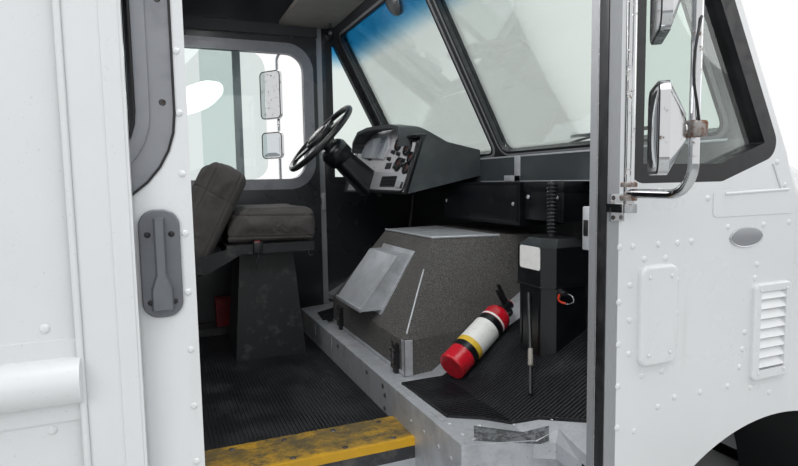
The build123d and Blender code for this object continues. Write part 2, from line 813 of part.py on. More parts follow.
def pod_face_x(z):
    """Where the pod's rear face stands at a height."""
    lean = (panel_head[0] - panel_foot[0]) / (panel_head[1] - panel_foot[1])
    return panel_foot[0] + (z - panel_foot[1]) * lean


def visor_form(inset, x0, x1):
    """The hood over the gauges: a flat arch across the pod, drawn in by its wall."""
    face = Face(Wire.make_polygon([(x0, y, z) for y, z in visor_points], close=True))
    top_corners = face.vertices().filter_by(lambda v: v.Z > visor_points[0][1] + 1)
    face = fillet(top_corners, visor_corner_r)
    if inset:
        face = offset(face, amount=-inset)
    return extrude(face, amount=x1 - x0, dir=(1, 0, 0))


visor_corner_r = 30
visor_slope = side_prism([
    (visor_rear - wall, 0),
    (visor_rear - wall, roof_top),
    (visor_rear, 1490),
    (visor_front, 1352),
    (visor_front, 0),
], pod_right, pod_left)
visor_room = side_prism([
    (visor_rear - wall, visor_low - wall),
    (visor_rear - wall, roof_top),
    (pod_face_x(roof_top), roof_top),
    (pod_face_x(visor_low - wall), visor_low - wall),
], pod_right, pod_left)
pod = side_prism(pod_points, pod_right, pod_left)
visor = visor_form(0, visor_rear, visor_front) & visor_slope
visor_hollow = visor_form(visor_wall, visor_rear - wall, visor_front)
visor_hollow += block(visor_rear - wall, visor_front, visor_right + visor_wall, visor_left - visor_wall,
                      visor_low - visor_wall, visor_low + 2 * visor_wall)
pod = pod + visor - (visor_hollow & visor_room)
pod -= rod(tuple(column_start), tuple(column_end), column_r)
nodes["dash_pod"] = pod

# Instrument panel on the pod's leaning rear face, running up under the visor
panel_thick = 10
panel_low = 1150
panel_high = 1368
panel_edge = 18
panel_slab = side_prism([
    (pod_face_x(panel_low) - panel_thick, panel_low),
    (pod_face_x(roof_top) - panel_thick, roof_top),
    (pod_face_x(roof_top), roof_top),
    (pod_face_x(panel_low), panel_low),
], pod_right + panel_edge, pod_left - 5 * panel_edge)
panel_window = block(0, seam_x, pod_right, pod_left, panel_low, panel_high)
panel_window += visor_form(visor_wall, 0, seam_x)
panel_face = (panel_slab & panel_window) - pod - rod(tuple(column_start), tuple(column_end), column_r)
nodes["instrument_panel"] = panel_face

# Electrical box under the shelf
ebox_rear = 650
ebox_right = -330
ebox_left = 300
ebox_low = 1020
nodes["electrical_box"] = block(ebox_rear, firewall_x, ebox_right, ebox_left, ebox_low, shelf_low)

# Steering column, and the wheel that turns on it
def column_plane(reach):
    """A plane square to the column, a distance down it from the wheel."""
    return Plane(origin=tuple(steer_centre + column_dir * reach), x_dir=(0, 1, 0), z_dir=tuple(column_dir))


shroud_sections = [
    (column_plane(shroud_start) * RectangleRounded(92, 92, 34)).face(),
    (column_plane(shroud_end) * RectangleRounded(150, 130, 34)).face(),
]
shroud_limit = side_prism([
    (pod_face_x(0) - panel_thick, 0),
    (pod_face_x(roof_top) - panel_thick, roof_top),
    (seam_x, roof_top),
    (seam_x, 0),
], pod_right, inner_y)
shroud = loft(shroud_sections, ruled=True) - shroud_limit
nodes["steering_column"] = rod(tuple(column_start), tuple(column_end), column_r) + shroud
rim_r = 203
rim_thick = 14
steer_plane = Plane(origin=tuple(steer_centre), x_dir=(0, 1, 0), z_dir=tuple(-column_dir))
rim = steer_plane * Torus(rim_r, rim_thick)
hub = extrude(steer_plane * Circle(hub_r), amount=hub_thick / 2, both=True)
pad = extrude(steer_plane * Circle(pad_r), amount=hub_thick / 2)
wheel = rim + hub + fillet(pad.edges().filter_by(GeomType.CIRCLE), pad_round)
spoke_count = 4
spoke_width = 40
spoke_thick = 12
for number in range(spoke_count):
    turned = steer_plane * Rot(0, 0, 45 + number * 360 / spoke_count)
    spoke = turned * Pos(rim_r / 2, 0, 0) * Box(rim_r, spoke_width, spoke_thick)
    wheel += spoke
nodes["steering_wheel"] = wheel

# Pedals: the brake hangs on an arm from the pod, the accelerator is a treadle on the mat
brake_x = 560
brake_y = cover_left + 40
brake_size = 90
brake_lift = 80
pedal_thick = 14
pedal_arm_r = 9
brake_arm_high = 1192
tread_heel = 470
tread_toe = 630
tread_lift = 55
tread_y = brake_y + 140
tread_half = 35
brake_z = deck_z(brake_x) + brake_lift
brake_pad = Pos(brake_x, brake_y, brake_z) * Rot(0, -60, 0) * Box(brake_size, brake_size, pedal_thick)
brake_arm = rod((brake_x, brake_y, brake_z), (brake_x + 60, brake_y, brake_arm_high), pedal_arm_r) - pod
mat_z = deck_z(tread_heel) + mat_thick
treadle = side_prism([
    (tread_heel, mat_z),
    (tread_toe, deck_z(tread_toe) + mat_thick + tread_lift),
    (tread_toe + 6, deck_z(tread_toe) + mat_thick + tread_lift - pedal_thick),
    (tread_heel + 30, deck_z(tread_heel + 30) + mat_thick),
], tread_y - tread_half, tread_y + tread_half)
nodes["pedals"] = Compound(children=[(brake_pad + brake_arm).solid(), treadle.solid()])

# Driver's seat: pedestal, base pan with hinge arms, cushion and backrest
seat_half = 245
seat_x = -160
pedestal_half = 120
pedestal_foot_half = 160
pan_low = 895
cushion_low = 935
cushion_high = 1090
cushion_front = 50
pan_rear = -350
back_pivot = (-470, 850)
back_lean = 27
back_thick = 175
back_high = 455
back_round = 38
cushion_round = 28
back_low = 70
arm_thick = 8
arm_gap = 5
pin_r = 8
pin_clear = 0.3
base_z = floor_top + mat_thick
foot = Pos(seat_x, seat_y, base_z) * Rectangle(2 * pedestal_foot_half, 2 * pedestal_foot_half)
head = Pos(seat_x, seat_y, pan_low) * Rectangle(2 * pedestal_half, 2 * pedestal_half)
nodes["seat_pedestal"] = loft([foot, head], ruled=True)
arm_y = seat_half + arm_gap
pan_half = arm_y + arm_thick
pan = block(pan_rear, cushion_front - 20, seat_y - pan_half, seat_y + pan_half, pan_low, cushion_low)
arm_points = [
    (pan_rear + 60, pan_low),
    (pan_rear + 60, cushion_low),
    (back_pivot[0] - 25, back_pivot[1] + 30),
    (back_pivot[0] - 25, back_pivot[1] - 30),
    (back_pivot[0] + 40, back_pivot[1] - 30),
]
pin_hole = rod((back_pivot[0], seat_y - 2 * seat_half, back_pivot[1]),
               (back_pivot[0], seat_y + 2 * seat_half, back_pivot[1]),
               pin_r + pin_clear)
for side in (-1, 1):
    inner = seat_y + side * arm_y
    pan += side_prism(arm_points, min(inner, inner + side * arm_thick), max(inner, inner + side * arm_thick))
nodes["seat_frame"] = pan - pin_hole
lean = tan(radians(back_lean))
face_offset = 40
face_x = back_pivot[0] + face_offset / cos(radians(back_lean))
cushion_gap = 12
cushion_points = [
    (face_x + (cushion_low - back_pivot[1]) * lean + cushion_gap, cushion_low),
    (face_x + (cushion_high - back_pivot[1]) * lean + cushion_gap, cushion_high),
    (cushion_front, cushion_high - 12),
    (cushion_front, cushion_low),
]
cushion = side_prism(cushion_points, seat_y - seat_half, seat_y + seat_half)
nodes["seat_cushion"] = fillet(cushion.faces().sort_by(Axis.Z)[-1].edges(), cushion_round)
back_plane = Plane(origin=(back_pivot[0], seat_y, back_pivot[1]), x_dir=(0, 1, 0),
                   z_dir=(cos(radians(back_lean)), 0, -sin(radians(back_lean))))
back_sketch = Pos(0, (back_high - back_low) / 2) * RectangleRounded(2 * seat_half, back_high + back_low, 50)
back = extrude(Pos(0, 0, face_offset - back_thick) * back_sketch, amount=back_thick)
back_ends = back.edges().group_by(Axis.Z)
back = back_plane * fillet(back_ends[0] + back_ends[-1], back_round)
pin_reach = seat_half + arm_gap + arm_thick
back += rod((back_pivot[0], seat_y - pin_reach, back_pivot[1]),
            (back_pivot[0], seat_y + pin_reach, back_pivot[1]), pin_r)
nodes["seat_back"] = back

# Kit box on the ledge beside the left door
kit_rear = -350
kit_length = 420
kit_height = 145
kit_outer = pocket_in_y - 12
kit_inner = kit_outer - 95
nodes["kit_box"] = block(kit_rear, kit_rear + kit_length, kit_inner, kit_outer,
                         ledge_high, ledge_high + kit_height)

# Moulded lubricator box on the right of the engine cover
lube_rear = 480
lube_front = 625
lube_left = cover_right - 185
lube_right = lube_left - 180
lube_high = 1010
lube_seam = 862
lube_lip = 5
lube_corner = 34
lube_taper = 26
lube_points = [
    (lube_rear, deck_z(lube_rear) + mat_thick),
    (lube_front, deck_z(lube_front) + mat_thick),
    (lube_front, lube_seam),
    (lube_rear, lube_seam),
]


def lube_plan(grow, corner, z):
    """Plan of the lid at a height, with its two rear corners cut off."""
    x0 = lube_rear - grow
    x1 = lube_front + grow
    y0 = lube_right - grow
    y1 = lube_left + grow
    points = [(x0 + corner, y0), (x1, y0), (x1, y1), (x0 + corner, y1), (x0, y1 - corner), (x0, y0 + corner)]
    return Face(Wire.make_polygon([(x, y, z) for x, y in points], close=True))


lube_body = side_prism(lube_points, lube_right, lube_left)
lube_body = chamfer(lube_body.edges().filter_by(Axis.Z).sort_by(Axis.X)[:2], lube_corner)
lid_sections = [
    lube_plan(lube_lip, lube_corner, lube_seam),
    lube_plan(lube_lip, lube_corner, lube_high - lube_taper),
    lube_plan(lube_lip - lube_taper, lube_corner, lube_high),
]
nodes["lubricator_box"] = lube_body + loft(lid_sections, ruled=True)

# Fire extinguisher lying on the toe-board mat
bottle_r = 50
bottle_foot_x = 290
bottle_foot_y = cover_right - 140
bottle_length = 310
bottle_turn = 18.5
neck_r = 18
neck_length = 55
rise = Vector(cos(radians(slope_deg)), 0, sin(radians(slope_deg)))
normal = Vector(-sin(radians(slope_deg)), 0, cos(radians(slope_deg)))
along = rise * cos(radians(bottle_turn)) + Vector(0, sin(radians(bottle_turn)), 0)
bottle_foot = Vector(bottle_foot_x, bottle_foot_y, deck_z(bottle_foot_x)) + normal * (mat_thick + bottle_r)
bottle_head = bottle_foot + along * bottle_length
bottle_shoulder = 34
bottle_base_r = 6
bottle = rod(tuple(bottle_foot), tuple(bottle_head), bottle_r)
bottle = fillet(bottle.edges().sort_by(Axis.X)[-1], bottle_shoulder)
bottle = fillet(bottle.edges().sort_by(Axis.X)[0], bottle_base_r)
nodes["extinguisher"] = bottle + rod(tuple(bottle_head), tuple(bottle_head + along * neck_length), neck_r)

# Overhead panel behind the windscreen header
overhead_rear = 60
overhead_thick = 22
nodes["overhead_panel"] = block(overhead_rear, glass_x(cant_z) - frame_depth, -pocket_y, pocket_y,
                                cant_z - overhead_thick, cant_z)

# Underframe: two long members, crossmembers and outriggers
member_y = 430
member_half = 30
member_low = 230
member_high = floor_top - floor_thick
cross_half = 30
mount_hole_r = 9
mount_spacing_x = 1600
mount_x = -500
cross_first = floor_rear + 40
cross_pitch = 420
cross_rise = 30
cross_places = [cross_first + number * cross_pitch for number in range(4)] + [riser_x - 50]
member = block(floor_rear, firewall_x, -member_y - member_half, -member_y + member_half,
               member_low, member_high)
members = member + mirrored(member)
for cross_x in cross_places:
    reach = floor_edge - sheet if cross_x > doorway_rear - sheet - cross_half else pocket_in_y
    members += block(cross_x - cross_half, cross_x + cross_half, -reach, reach,
                     member_low + cross_rise, member_high)
for mount_at in (mount_x - mount_spacing_x / 2, mount_x + mount_spacing_x / 2):
    for side in (-1, 1):
        members -= rod((mount_at, side * member_y, 0), (mount_at, side * member_y, member_high),
                       mount_hole_r)
nodes["underframe"] = members

# Sliding doors: panel, window frame, glass, rollers and handle
handle_low = 984
handle_high = 1160
handle_width = 62
handle_thick = 22
door_rear_x = door_open_lead - door_length
door_rear_strip = 60
frame_rear = door_rear_x + window_margin + door_rear_strip
frame_front_x = door_open_lead - window_margin
panel_slab = block(door_rear_x, door_open_lead, -door_out_y, -door_in_y, door_bottom, door_top)
window_outer = rounded_plate(frame_rear, frame_front_x, window_low, window_high, window_corner_r + window_frame,
                             -door_out_y, -door_in_y)
window_inner = rounded_plate(frame_rear + window_frame, frame_front_x - window_frame, window_low + window_frame,
                             window_high - window_frame, window_corner_r, -door_out_y, -door_in_y)
# The window has a sash post in its middle; the front pane stands slid back, 8 mm inboard of the rear pane
sash_width = 42
sash_thick = 16
pane_offset = 8
pane_slide = 215
sash_x = (frame_rear + frame_front_x) / 2
glass_y = -(door_out_y + door_in_y) / 2
pane_low_z = window_low + window_frame
pane_high_z = window_high - window_frame
window_frame_solid = window_outer - window_inner
window_frame_solid += block(sash_x - sash_width / 2, sash_x + sash_width / 2, glass_y - sash_thick, glass_y,
                            pane_low_z, pane_high_z)
opening_form = rounded_plate(frame_rear + window_frame, frame_front_x - window_frame, pane_low_z, pane_high_z,
                             window_corner_r, -outer_y, 0)
rear_pane = opening_form & block(frame_rear, sash_x - sash_width / 2, glass_y - glass_thick, glass_y,
                                 window_low, window_high)
front_pane = Pos(-pane_slide, pane_offset, 0) * (opening_form & block(sash_x + sash_width / 2, frame_front_x,
                                                 glass_y, glass_y + glass_thick, window_low, window_high))
door_glass = Compound(children=[rear_pane.solid(), front_pane.solid()])
door_panel = panel_slab - window_outer
hanger_height = track_low + track_wall + roller_r - door_top
hanger_inset = 120
for place in (door_rear_x + hanger_inset, door_open_lead - hanger_inset):
    stem = block(place - 15, place + 15, -track_y - 3, -track_y + 3, door_top, door_top + hanger_height)
    roller_z = track_low + track_wall + roller_r + column_clear
    roller = rod((place, -track_y - roller_width / 2, roller_z), (place, -track_y + roller_width / 2, roller_z),
                 roller_r)
    door_panel += stem
    door_panel += roller
handle_rear = doorway_rear + run_gap
handle_front = handle_rear + handle_width
handle_mid = (handle_rear + handle_front) / 2
handle_plate = 7
lever_top = 9
lever_foot = 17
lever_margin = 12
door_handle = rounded_plate(handle_rear, handle_front, handle_low, handle_high, 26,
                            -door_out_y - handle_plate, -door_out_y)
door_handle = fillet(door_handle.edges().group_by(Axis.Y)[0], 3)
lever_outline = Face(Wire.make_polygon([
    (handle_mid - lever_foot, -door_out_y - handle_plate, handle_low + lever_margin),
    (handle_mid - lever_foot, -door_out_y - handle_plate, handle_low + 4 * lever_margin),
    (handle_mid - lever_top, -door_out_y - handle_plate, handle_low + 6 * lever_margin),
    (handle_mid - lever_top, -door_out_y - handle_plate, handle_high - lever_margin),
    (handle_mid + lever_top, -door_out_y - handle_plate, handle_high - lever_margin),
    (handle_mid + lever_top, -door_out_y - handle_plate, handle_low + 6 * lever_margin),
    (handle_mid + lever_foot, -door_out_y - handle_plate, handle_low + 4 * lever_margin),
    (handle_mid + lever_foot, -door_out_y - handle_plate, handle_low + lever_margin),
], close=True))
door_handle += extrude(lever_outline, amount=handle_thick - handle_plate, dir=(0, -1, 0), taper=12)
closing = Pos(door_travel, 0, 0)
door_pieces = {
    "door_panel": door_panel,
    "door_window_frame": window_frame_solid,
    "door_glass": door_glass,
    "door_handle": door_handle,
}
for name, shape in door_pieces.items():
    nodes[name + "_right"] = shape
    nodes[name + "_left"] = closing * mirrored(shape)

# Mirrors: a tube loop turning in two brackets, with a flat and a convex head
pivot_x = 287
pivot_y = half_width + 45
tube_r = 9.5
pivot_r = 10.5
loop_low = 1165
loop_high = 1985
loop_corner = 55
head_width = 165
head_height = 285
head_depth = 30
convex_height = 160
head_corner_r = 30
head_rim = 16
head_dome = 32
dome_share = 0.35
stub_r = 12
head_back = 50
arm_lean = 19
bracket_behind = 9
bracket_ahead = 27
bracket_thick = 6
bracket_reach = 16
pivot_end = 40


def mirror_head(x, y, z, height):
    """A glass in a rounded rim, with a domed back that narrows towards its clamp."""
    plane = Plane(origin=(x, y, z), x_dir=(0, 1, 0), z_dir=(1, 0, 0))
    rim = extrude(plane * RectangleRounded(head_width, height, head_corner_r), amount=-head_rim)
    foot = plane * RectangleRounded(head_width, height, head_corner_r)
    tip = Pos(head_dome, 0, 0) * (plane * RectangleRounded(head_width * dome_share, height * dome_share,
                                                           head_corner_r * dome_share))
    return rim + loft([foot.face(), tip.face()], ruled=True)


def swung(shape, degrees, x, y):
    """A shape turned about an upright line."""
    return Pos(x, y, 0) * Rot(0, 0, -degrees) * Pos(-x, -y, 0) * shape


# Each loop stands out by its own reach and swing, and its heads are turned to the driver's eye
mirror_places = [
    ("_right", 170, 0, 40, 1442, 1281),
    ("_left", 250.5, 45, 36, 1579, 1422),
]
for word, loop_out, swing, glance, flat_low, convex_z in mirror_places:
    loop_x = pivot_x - arm_lean
    head_y = -pivot_y - loop_out
    loop_path = FilletPolyline((pivot_x, -pivot_y, loop_low), (loop_x, head_y, loop_low),
                               (loop_x, head_y, loop_high), (pivot_x, -pivot_y, loop_high), radius=loop_corner)
    start = Plane(origin=loop_path @ 0, z_dir=loop_path % 0)
    loop = sweep(start * Circle(tube_r), path=loop_path)
    loop += rod((pivot_x, -pivot_y, loop_low - pivot_end), (pivot_x, -pivot_y, loop_high + pivot_end),
                pivot_r)
    head_x = loop_x - head_back
    heads = []
    for head_z, height in ((flat_low + head_height / 2, head_height), (convex_z, convex_height)):
        head = mirror_head(head_x, head_y, head_z, height)
        head += rod((head_x, head_y, head_z), (loop_x, head_y, head_z), stub_r)
        heads.append((swung(head, glance - swing, loop_x, head_y) - loop).solid())
    loop = swung(loop, swing, pivot_x, -pivot_y)
    heads = swung(Compound(children=heads), swing, pivot_x, -pivot_y)
    if word == "_left":
        loop = mirrored(loop)
        heads = mirrored(heads)
    nodes["mirror_arm" + word] = loop
    nodes["mirror_heads" + word] = heads

# Mirror brackets: a plate on the side with a boss that the pivot tube turns in
boss_r = 17
boss_half = 9
bracket_height = 58
pivot_clear = 0.3
bracket_solids = []
for boss_z in (loop_low - pivot_end + boss_half, loop_high + pivot_end - boss_half):
    plate = block(pivot_x - bracket_behind, pivot_x + bracket_ahead, -outer_y - bracket_thick, -outer_y,
                  boss_z - bracket_height / 2, boss_z + bracket_height / 2)
    boss_foot = (pivot_x, -pivot_y, boss_z - boss_half)
    boss_head = (pivot_x, -pivot_y, boss_z + boss_half)
    web = block(pivot_x - boss_r, pivot_x + boss_r, -pivot_y, -outer_y, boss_foot[2], boss_head[2])
    boss = rod(boss_foot, boss_head, boss_r)
    bore = rod(boss_foot, boss_head, pivot_r + pivot_clear)
    bracket_solids.append((plate + web + boss - bore).solid())
bracket_solids += [mirrored(bracket).solid() for bracket in bracket_solids]
nodes["mirror_brackets"] = Compound(children=bracket_solids)

for name, shape in nodes.items():
    export_step(shape, "parts/" + name + ".step")
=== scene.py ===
from contextlib import contextmanager
from math import cos, radians, sin, tan

import bpy
from mathutils import Matrix, Vector


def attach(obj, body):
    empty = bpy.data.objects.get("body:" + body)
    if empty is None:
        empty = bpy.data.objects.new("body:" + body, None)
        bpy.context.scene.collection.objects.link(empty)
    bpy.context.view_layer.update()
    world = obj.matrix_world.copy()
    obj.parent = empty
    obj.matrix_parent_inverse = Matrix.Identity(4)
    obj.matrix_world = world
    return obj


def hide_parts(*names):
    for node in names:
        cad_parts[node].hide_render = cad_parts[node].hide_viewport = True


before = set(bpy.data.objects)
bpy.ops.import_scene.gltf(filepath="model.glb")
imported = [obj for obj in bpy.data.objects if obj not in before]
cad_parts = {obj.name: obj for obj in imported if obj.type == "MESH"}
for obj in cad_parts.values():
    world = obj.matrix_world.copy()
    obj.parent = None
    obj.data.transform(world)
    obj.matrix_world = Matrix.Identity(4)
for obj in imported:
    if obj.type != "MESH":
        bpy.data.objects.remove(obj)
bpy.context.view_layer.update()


# Underframe: two long channel members with crossmembers, welded up from steel.
# It is painted black and carries road dirt and a little rust at its welds.
class Reading:
    """A value that varies over a surface, on which ordinary arithmetic works."""

    def __init__(self, mixing, socket):
        self.mixing = mixing
        self.socket = socket

    def worked(self, operation, first, second):
        """One step of arithmetic on two values."""
        return self.mixing.node("ShaderNodeMath", {"operation": operation}, {0: first, 1: second})

    def __add__(self, other):
        return self.worked("ADD", self, other)

    def __radd__(self, other):
        return self.worked("ADD", other, self)

    def __sub__(self, other):
        return self.worked("SUBTRACT", self, other)

    def __rsub__(self, other):
        return self.worked("SUBTRACT", other, self)

    def __mul__(self, other):
        return self.worked("MULTIPLY", self, other)

    def __rmul__(self, other):
        return self.worked("MULTIPLY", other, self)

    def __gt__(self, other):
        return self.worked("GREATER_THAN", self, other)


def colour(red, green, blue):
    """A colour as it is read off a screen from 0 to 255, turned into the shader's own."""
    parts = []
    for part in (red, green, blue):
        share = part / 255
        parts.append(share / 12.92 if share < 0.04045 else ((share + 0.055) / 1.055) ** 2.4)
    return (*parts, 1.0)


class Mixing:
    """Nodes being put together: a finish, or the light all round."""

    def __init__(self, tree):
        self.tree = tree

    def node(self, kind, settings, sockets, output=0):
        """Adds a node: its settings first, then the values or readings of its sockets."""
        made = self.tree.nodes.new(kind)
        for setting, value in settings.items():
            setattr(made, setting, value)
        for socket, value in sockets.items():
            self.put(made, socket, value)
        return Reading(self, made.outputs[output])

    def put(self, node, socket, value):
        """Sets one of a node's sockets to a value or a reading."""
        if isinstance(value, Reading):
            self.tree.links.new(value.socket, node.inputs[socket])
        else:
            node.inputs[socket].default_value = value


class Finish(Mixing):
    """A finish being mixed: its material, its shader, and what varies over the surface."""

    def __init__(self, name, tone, roughness, metallic=0.0, coat=0.0, slot=None):
        self.slot = slot or name
        self.material = bpy.data.materials.new(name)
        self.material.use_nodes = True
        super().__init__(self.material.node_tree)
        self.shader = self.tree.nodes["Principled BSDF"]
        self.place = self.node("ShaderNodeTexCoord", {}, {}, "Object")
        self.give("Base Color", colour(*tone))
        self.give("Roughness", roughness)
        self.give("Metallic", metallic)
        self.give("Coat Weight", coat)
        self.give("Coat Roughness", 0.15)

    def give(self, socket, value):
        """Sets one of the shader's own sockets."""
        self.put(self.shader, socket, value)

    def along(self, axis):
        """How far along an axis a place on the surface is."""
        return self.node("ShaderNodeSeparateXYZ", {}, {0: self.place}, axis)

    def grain(self, scale, detail=4.0, rough=0.6, stretch=None):
        """A cloudy grain over the surface, finer as its scale grows."""
        where = self.place
        if stretch:
            where = self.node("ShaderNodeMapping", {}, {"Vector": self.place, "Scale": stretch})
        return self.node("ShaderNodeTexNoise", {}, {"Vector": where, "Scale": scale, "Detail": detail,
                                                    "Roughness": rough})

    def rising(self, reading, low, high):
        """0 where a reading is at its low mark, 1 at its high mark, and smooth between."""
        return self.node("ShaderNodeMapRange", {"interpolation_type": "SMOOTHSTEP"},
                         {"Value": reading, "From Min": low, "From Max": high})

    def patches(self, low, high, *grain):
        """Patches picked out of a grain by a low mark and a high one."""
        return self.rising(self.grain(*grain), low, high)

    def inward(self, weights):
        """1 on faces that look into the cab and 0 on the rest, reading the axes by their weights."""
        normal = self.node("ShaderNodeTexCoord", {}, {}, "Normal")
        to_middle = self.node("ShaderNodeVectorMath", {"operation": "SUBTRACT"},
                              {0: (-0.3, 0, 1.4), 1: self.place})
        weighed = self.node("ShaderNodeVectorMath", {"operation": "MULTIPLY"}, {0: to_middle, 1: weights})
        facing = self.node("ShaderNodeVectorMath", {"operation": "DOT_PRODUCT"},
                           {0: weighed, 1: normal}, "Value")
        return facing > 0.2

    def tint(self, mask, first, second):
        """One colour where the mask is 0, and the other where it is 1."""
        first, second = [tone if isinstance(tone, Reading) else colour(*tone) for tone in (first, second)]
        return self.node("ShaderNodeMix", {"data_type": "RGBA"}, {0: mask, 6: first, 7: second}, 2)

    def paint(self, mask, first, second):
        """Gives the surface two colours, mixed by a mask."""
        self.give("Base Color", self.tint(mask, first, second))

    def mottle(self, mask, first, second, rough, spread):
        """Gives the surface two colours by a mask, and a roughness that grows with it."""
        self.paint(mask, first, second)
        self.give("Roughness", rough + spread * mask)

    def grained(self, depth, *grain):
        """Gives the surface one even, fine relief."""
        self.relief(self.grain(*grain), depth)

    def relief(self, height, depth, strength=1.0):
        """Makes the surface stand up and sink by a reading."""
        self.give("Normal", self.node("ShaderNodeBump", {}, {"Height": height, "Distance": depth,
                                                             "Strength": strength}))


def dress(finish, *nodes):
    """Gives carried-over nodes a finish."""
    for node in nodes:
        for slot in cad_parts[node].material_slots:
            slot.material = finish.material


frame_steel = Finish("frame_steel", (52, 52, 54), 0.6, 0.2)
crust = frame_steel.grain(9, 8, 0.7)
rust = frame_steel.rising(crust, 0.56, 0.66)
frame_steel.mottle(rust, (48, 48, 50), (96, 62, 42), 0.5, 0.4)
frame_steel.relief(frame_steel.grain(160, 3, 0.6) + crust, 0.0006)
dress(frame_steel, "underframe")

# Main floor: painted steel sheet on the crossmembers, most of it under the mats.
# A black mat with fine ribs across the cab lies on it, cut round the platform and the step.
mat_top = 0.398
mat_rear = -1.600
mat_lead = 0.080
mat_right = -0.427
mat_left = 0.960
mat_side = -1.100
step_rear = -0.646
rib_pitch = 0.0127
rib_width = 0.0065
rib_height = 0.003
rib_taper = 0.7
lift = 0.0003

floor_sheet = Finish("floor_sheet", (70, 70, 72), 0.6, 0.3)
floor_sheet.mottle(floor_sheet.patches(0.45, 0.7, 14, 8, 0.7), (58, 59, 62), (104, 102, 98), 0.45, 0.3)
floor_sheet.grained(0.0004, 90)
dress(floor_sheet, "main_floor")

mat_rubber = Finish("mat_rubber", (30, 31, 33), 0.62)
grit = mat_rubber.patches(0.6, 0.72, 420, 2, 0.5)
dust = mat_rubber.patches(0.42, 0.72, 5, 6, 0.65)
trodden = mat_rubber.tint(dust, (13, 15, 20), (35, 37, 41))
mat_rubber.paint(grit * 0.4, trodden, (100, 98, 96))
mat_rubber.give("Roughness", 0.48 + 0.25 * dust)
mat_rubber.grained(0.0004, 300, 3, 0.6)
dress(mat_rubber, "rubber_mats")


def fresh():
    """Leaves nothing selected, so that the next operators act on new work alone."""
    if bpy.context.object and bpy.context.object.mode != "OBJECT":
        bpy.ops.object.mode_set(mode="OBJECT")
    bpy.ops.object.select_all(action="DESELECT")


def alone(made):
    """Leaves one object selected and active."""
    fresh()
    made.select_set(True)
    bpy.context.view_layer.objects.active = made


@contextmanager
def editing(made, whole=True):
    """Work on a piece's faces: on all of them, or on those picked before."""
    alone(made)
    bpy.ops.object.mode_set(mode="EDIT")
    bpy.ops.mesh.select_mode(type="FACE")
    if whole:
        bpy.ops.mesh.select_all(action="SELECT")
    yield
    bpy.ops.object.mode_set(mode="OBJECT")


def block(low, high):
    """Starts a piece as a block between two corners."""
    fresh()
    bpy.ops.mesh.primitive_cube_add(size=1, location=[(a + b) / 2 for a, b in zip(low, high)])
    made = bpy.context.object
    made.scale = [b - a for a, b in zip(low, high)]
    bpy.ops.object.transform_apply(location=True, rotation=True, scale=True)
    return made


def soften(made, width, steps=2, bend=30):
    """Rounds a piece's sharp edges."""
    alone(made)
    edges = made.modifiers.new("edges", "BEVEL")
    edges.width = width
    edges.segments = steps
    edges.limit_method = "ANGLE"
    edges.angle_limit = radians(bend)
    bpy.ops.object.modifier_apply(modifier=edges.name)
    bpy.ops.object.shade_smooth_by_angle(angle=radians(bend + 5))
    return made


def joined(pieces):
    """Joins separate pieces into one object."""
    fresh()
    for made in pieces:
        made.select_set(True)
    bpy.context.view_layer.objects.active = pieces[0]
    bpy.ops.object.join()
    return bpy.context.object


def placed(made, matrix):
    """A piece with its place put in its mesh."""
    made.data.transform(matrix)
    return made


def another(made, matrix):
    """Another of a piece, with its own mesh, moved in that mesh."""
    copy = made.copy()
    copy.data = made.data.copy()
    bpy.context.collection.objects.link(copy)
    return placed(copy, matrix)


def keep(made, name, finish, body="root"):
    """Finishes a piece: its name, its finish and the body that it rides on."""
    made.name = name
    made.data.name = name
    made.data.materials.clear()
    made.data.materials.append(finish.material)
    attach(made, body)
    return made


def rib(start, end, half, low, high):
    """One rib lying forward between two points, with its top narrower than its foot."""
    made = block((start[0], start[1] - half, low), (end[0], end[1] + half, high))
    top = max(made.data.polygons, key=lambda face: face.normal.z)
    for face in made.data.polygons:
        face.select = face == top
    with editing(made, whole=False):
        bpy.ops.transform.resize(value=(1, rib_taper, 1))
    return made


def ribbed_sheet(rear, lead, right, left, top):
    """A sheet with ribs across it, drawn up from every second strip of a grid."""
    count = int((lead - rear) / rib_pitch)
    fresh()
    bpy.ops.mesh.primitive_grid_add(x_subdivisions=2 * count, y_subdivisions=1, size=1,
                                    location=((rear + lead) / 2, (right + left) / 2, top))
    made = bpy.context.object
    made.scale = (lead - rear, left - right, 1)
    bpy.ops.object.transform_apply(location=True, rotation=True, scale=True)
    for number, face in enumerate(sorted(made.data.polygons, key=lambda face: face.center.x)):
        face.select = number % 2 == 1
    with editing(made, whole=False):
        bpy.ops.mesh.extrude_region_move(TRANSFORM_OT_translate={"value": (0, 0, rib_height)})
    return made


floor_ribs = joined([
    ribbed_sheet(mat_rear, step_rear, mat_side, mat_left, mat_top + lift),
    ribbed_sheet(step_rear, mat_lead - 0.003, mat_right, mat_left, mat_top + lift),
])
keep(floor_ribs, "floor_mat_ribs", mat_rubber)

# Step well and its worn yellow nosing: pressed aluminium, with a cast strip along the floor's edge.
# The strip is painted yellow and worn to dark metal where feet land, and bolts hold it down.
nosing_top = 0.415
nosing_bolt_r = 0.009

plate_aluminium = Finish("plate_aluminium", (180, 184, 190), 0.42, 0.4)
brushed = plate_aluminium.grain(60, 5, 0.6, (1, 14, 14))
stain = plate_aluminium.patches(0.4, 0.72, 7, 7, 0.65)
speck = plate_aluminium.patches(0.6, 0.7, 120, 4, 0.7)
clean = plate_aluminium.tint(brushed, (176, 180, 186), (206, 209, 213))
soiled = plate_aluminium.tint(stain * 0.6, clean, (134, 133, 133))
plate_aluminium.paint(speck * 0.5, soiled, (96, 92, 88))
plate_aluminium.give("Roughness", 0.34 + 0.3 * stain + 0.1 * brushed)
plate_aluminium.relief(brushed + speck * 0.6, 0.0003)
dress(plate_aluminium, "step_well", "platform_deck", "platform_riser", "cover_box")

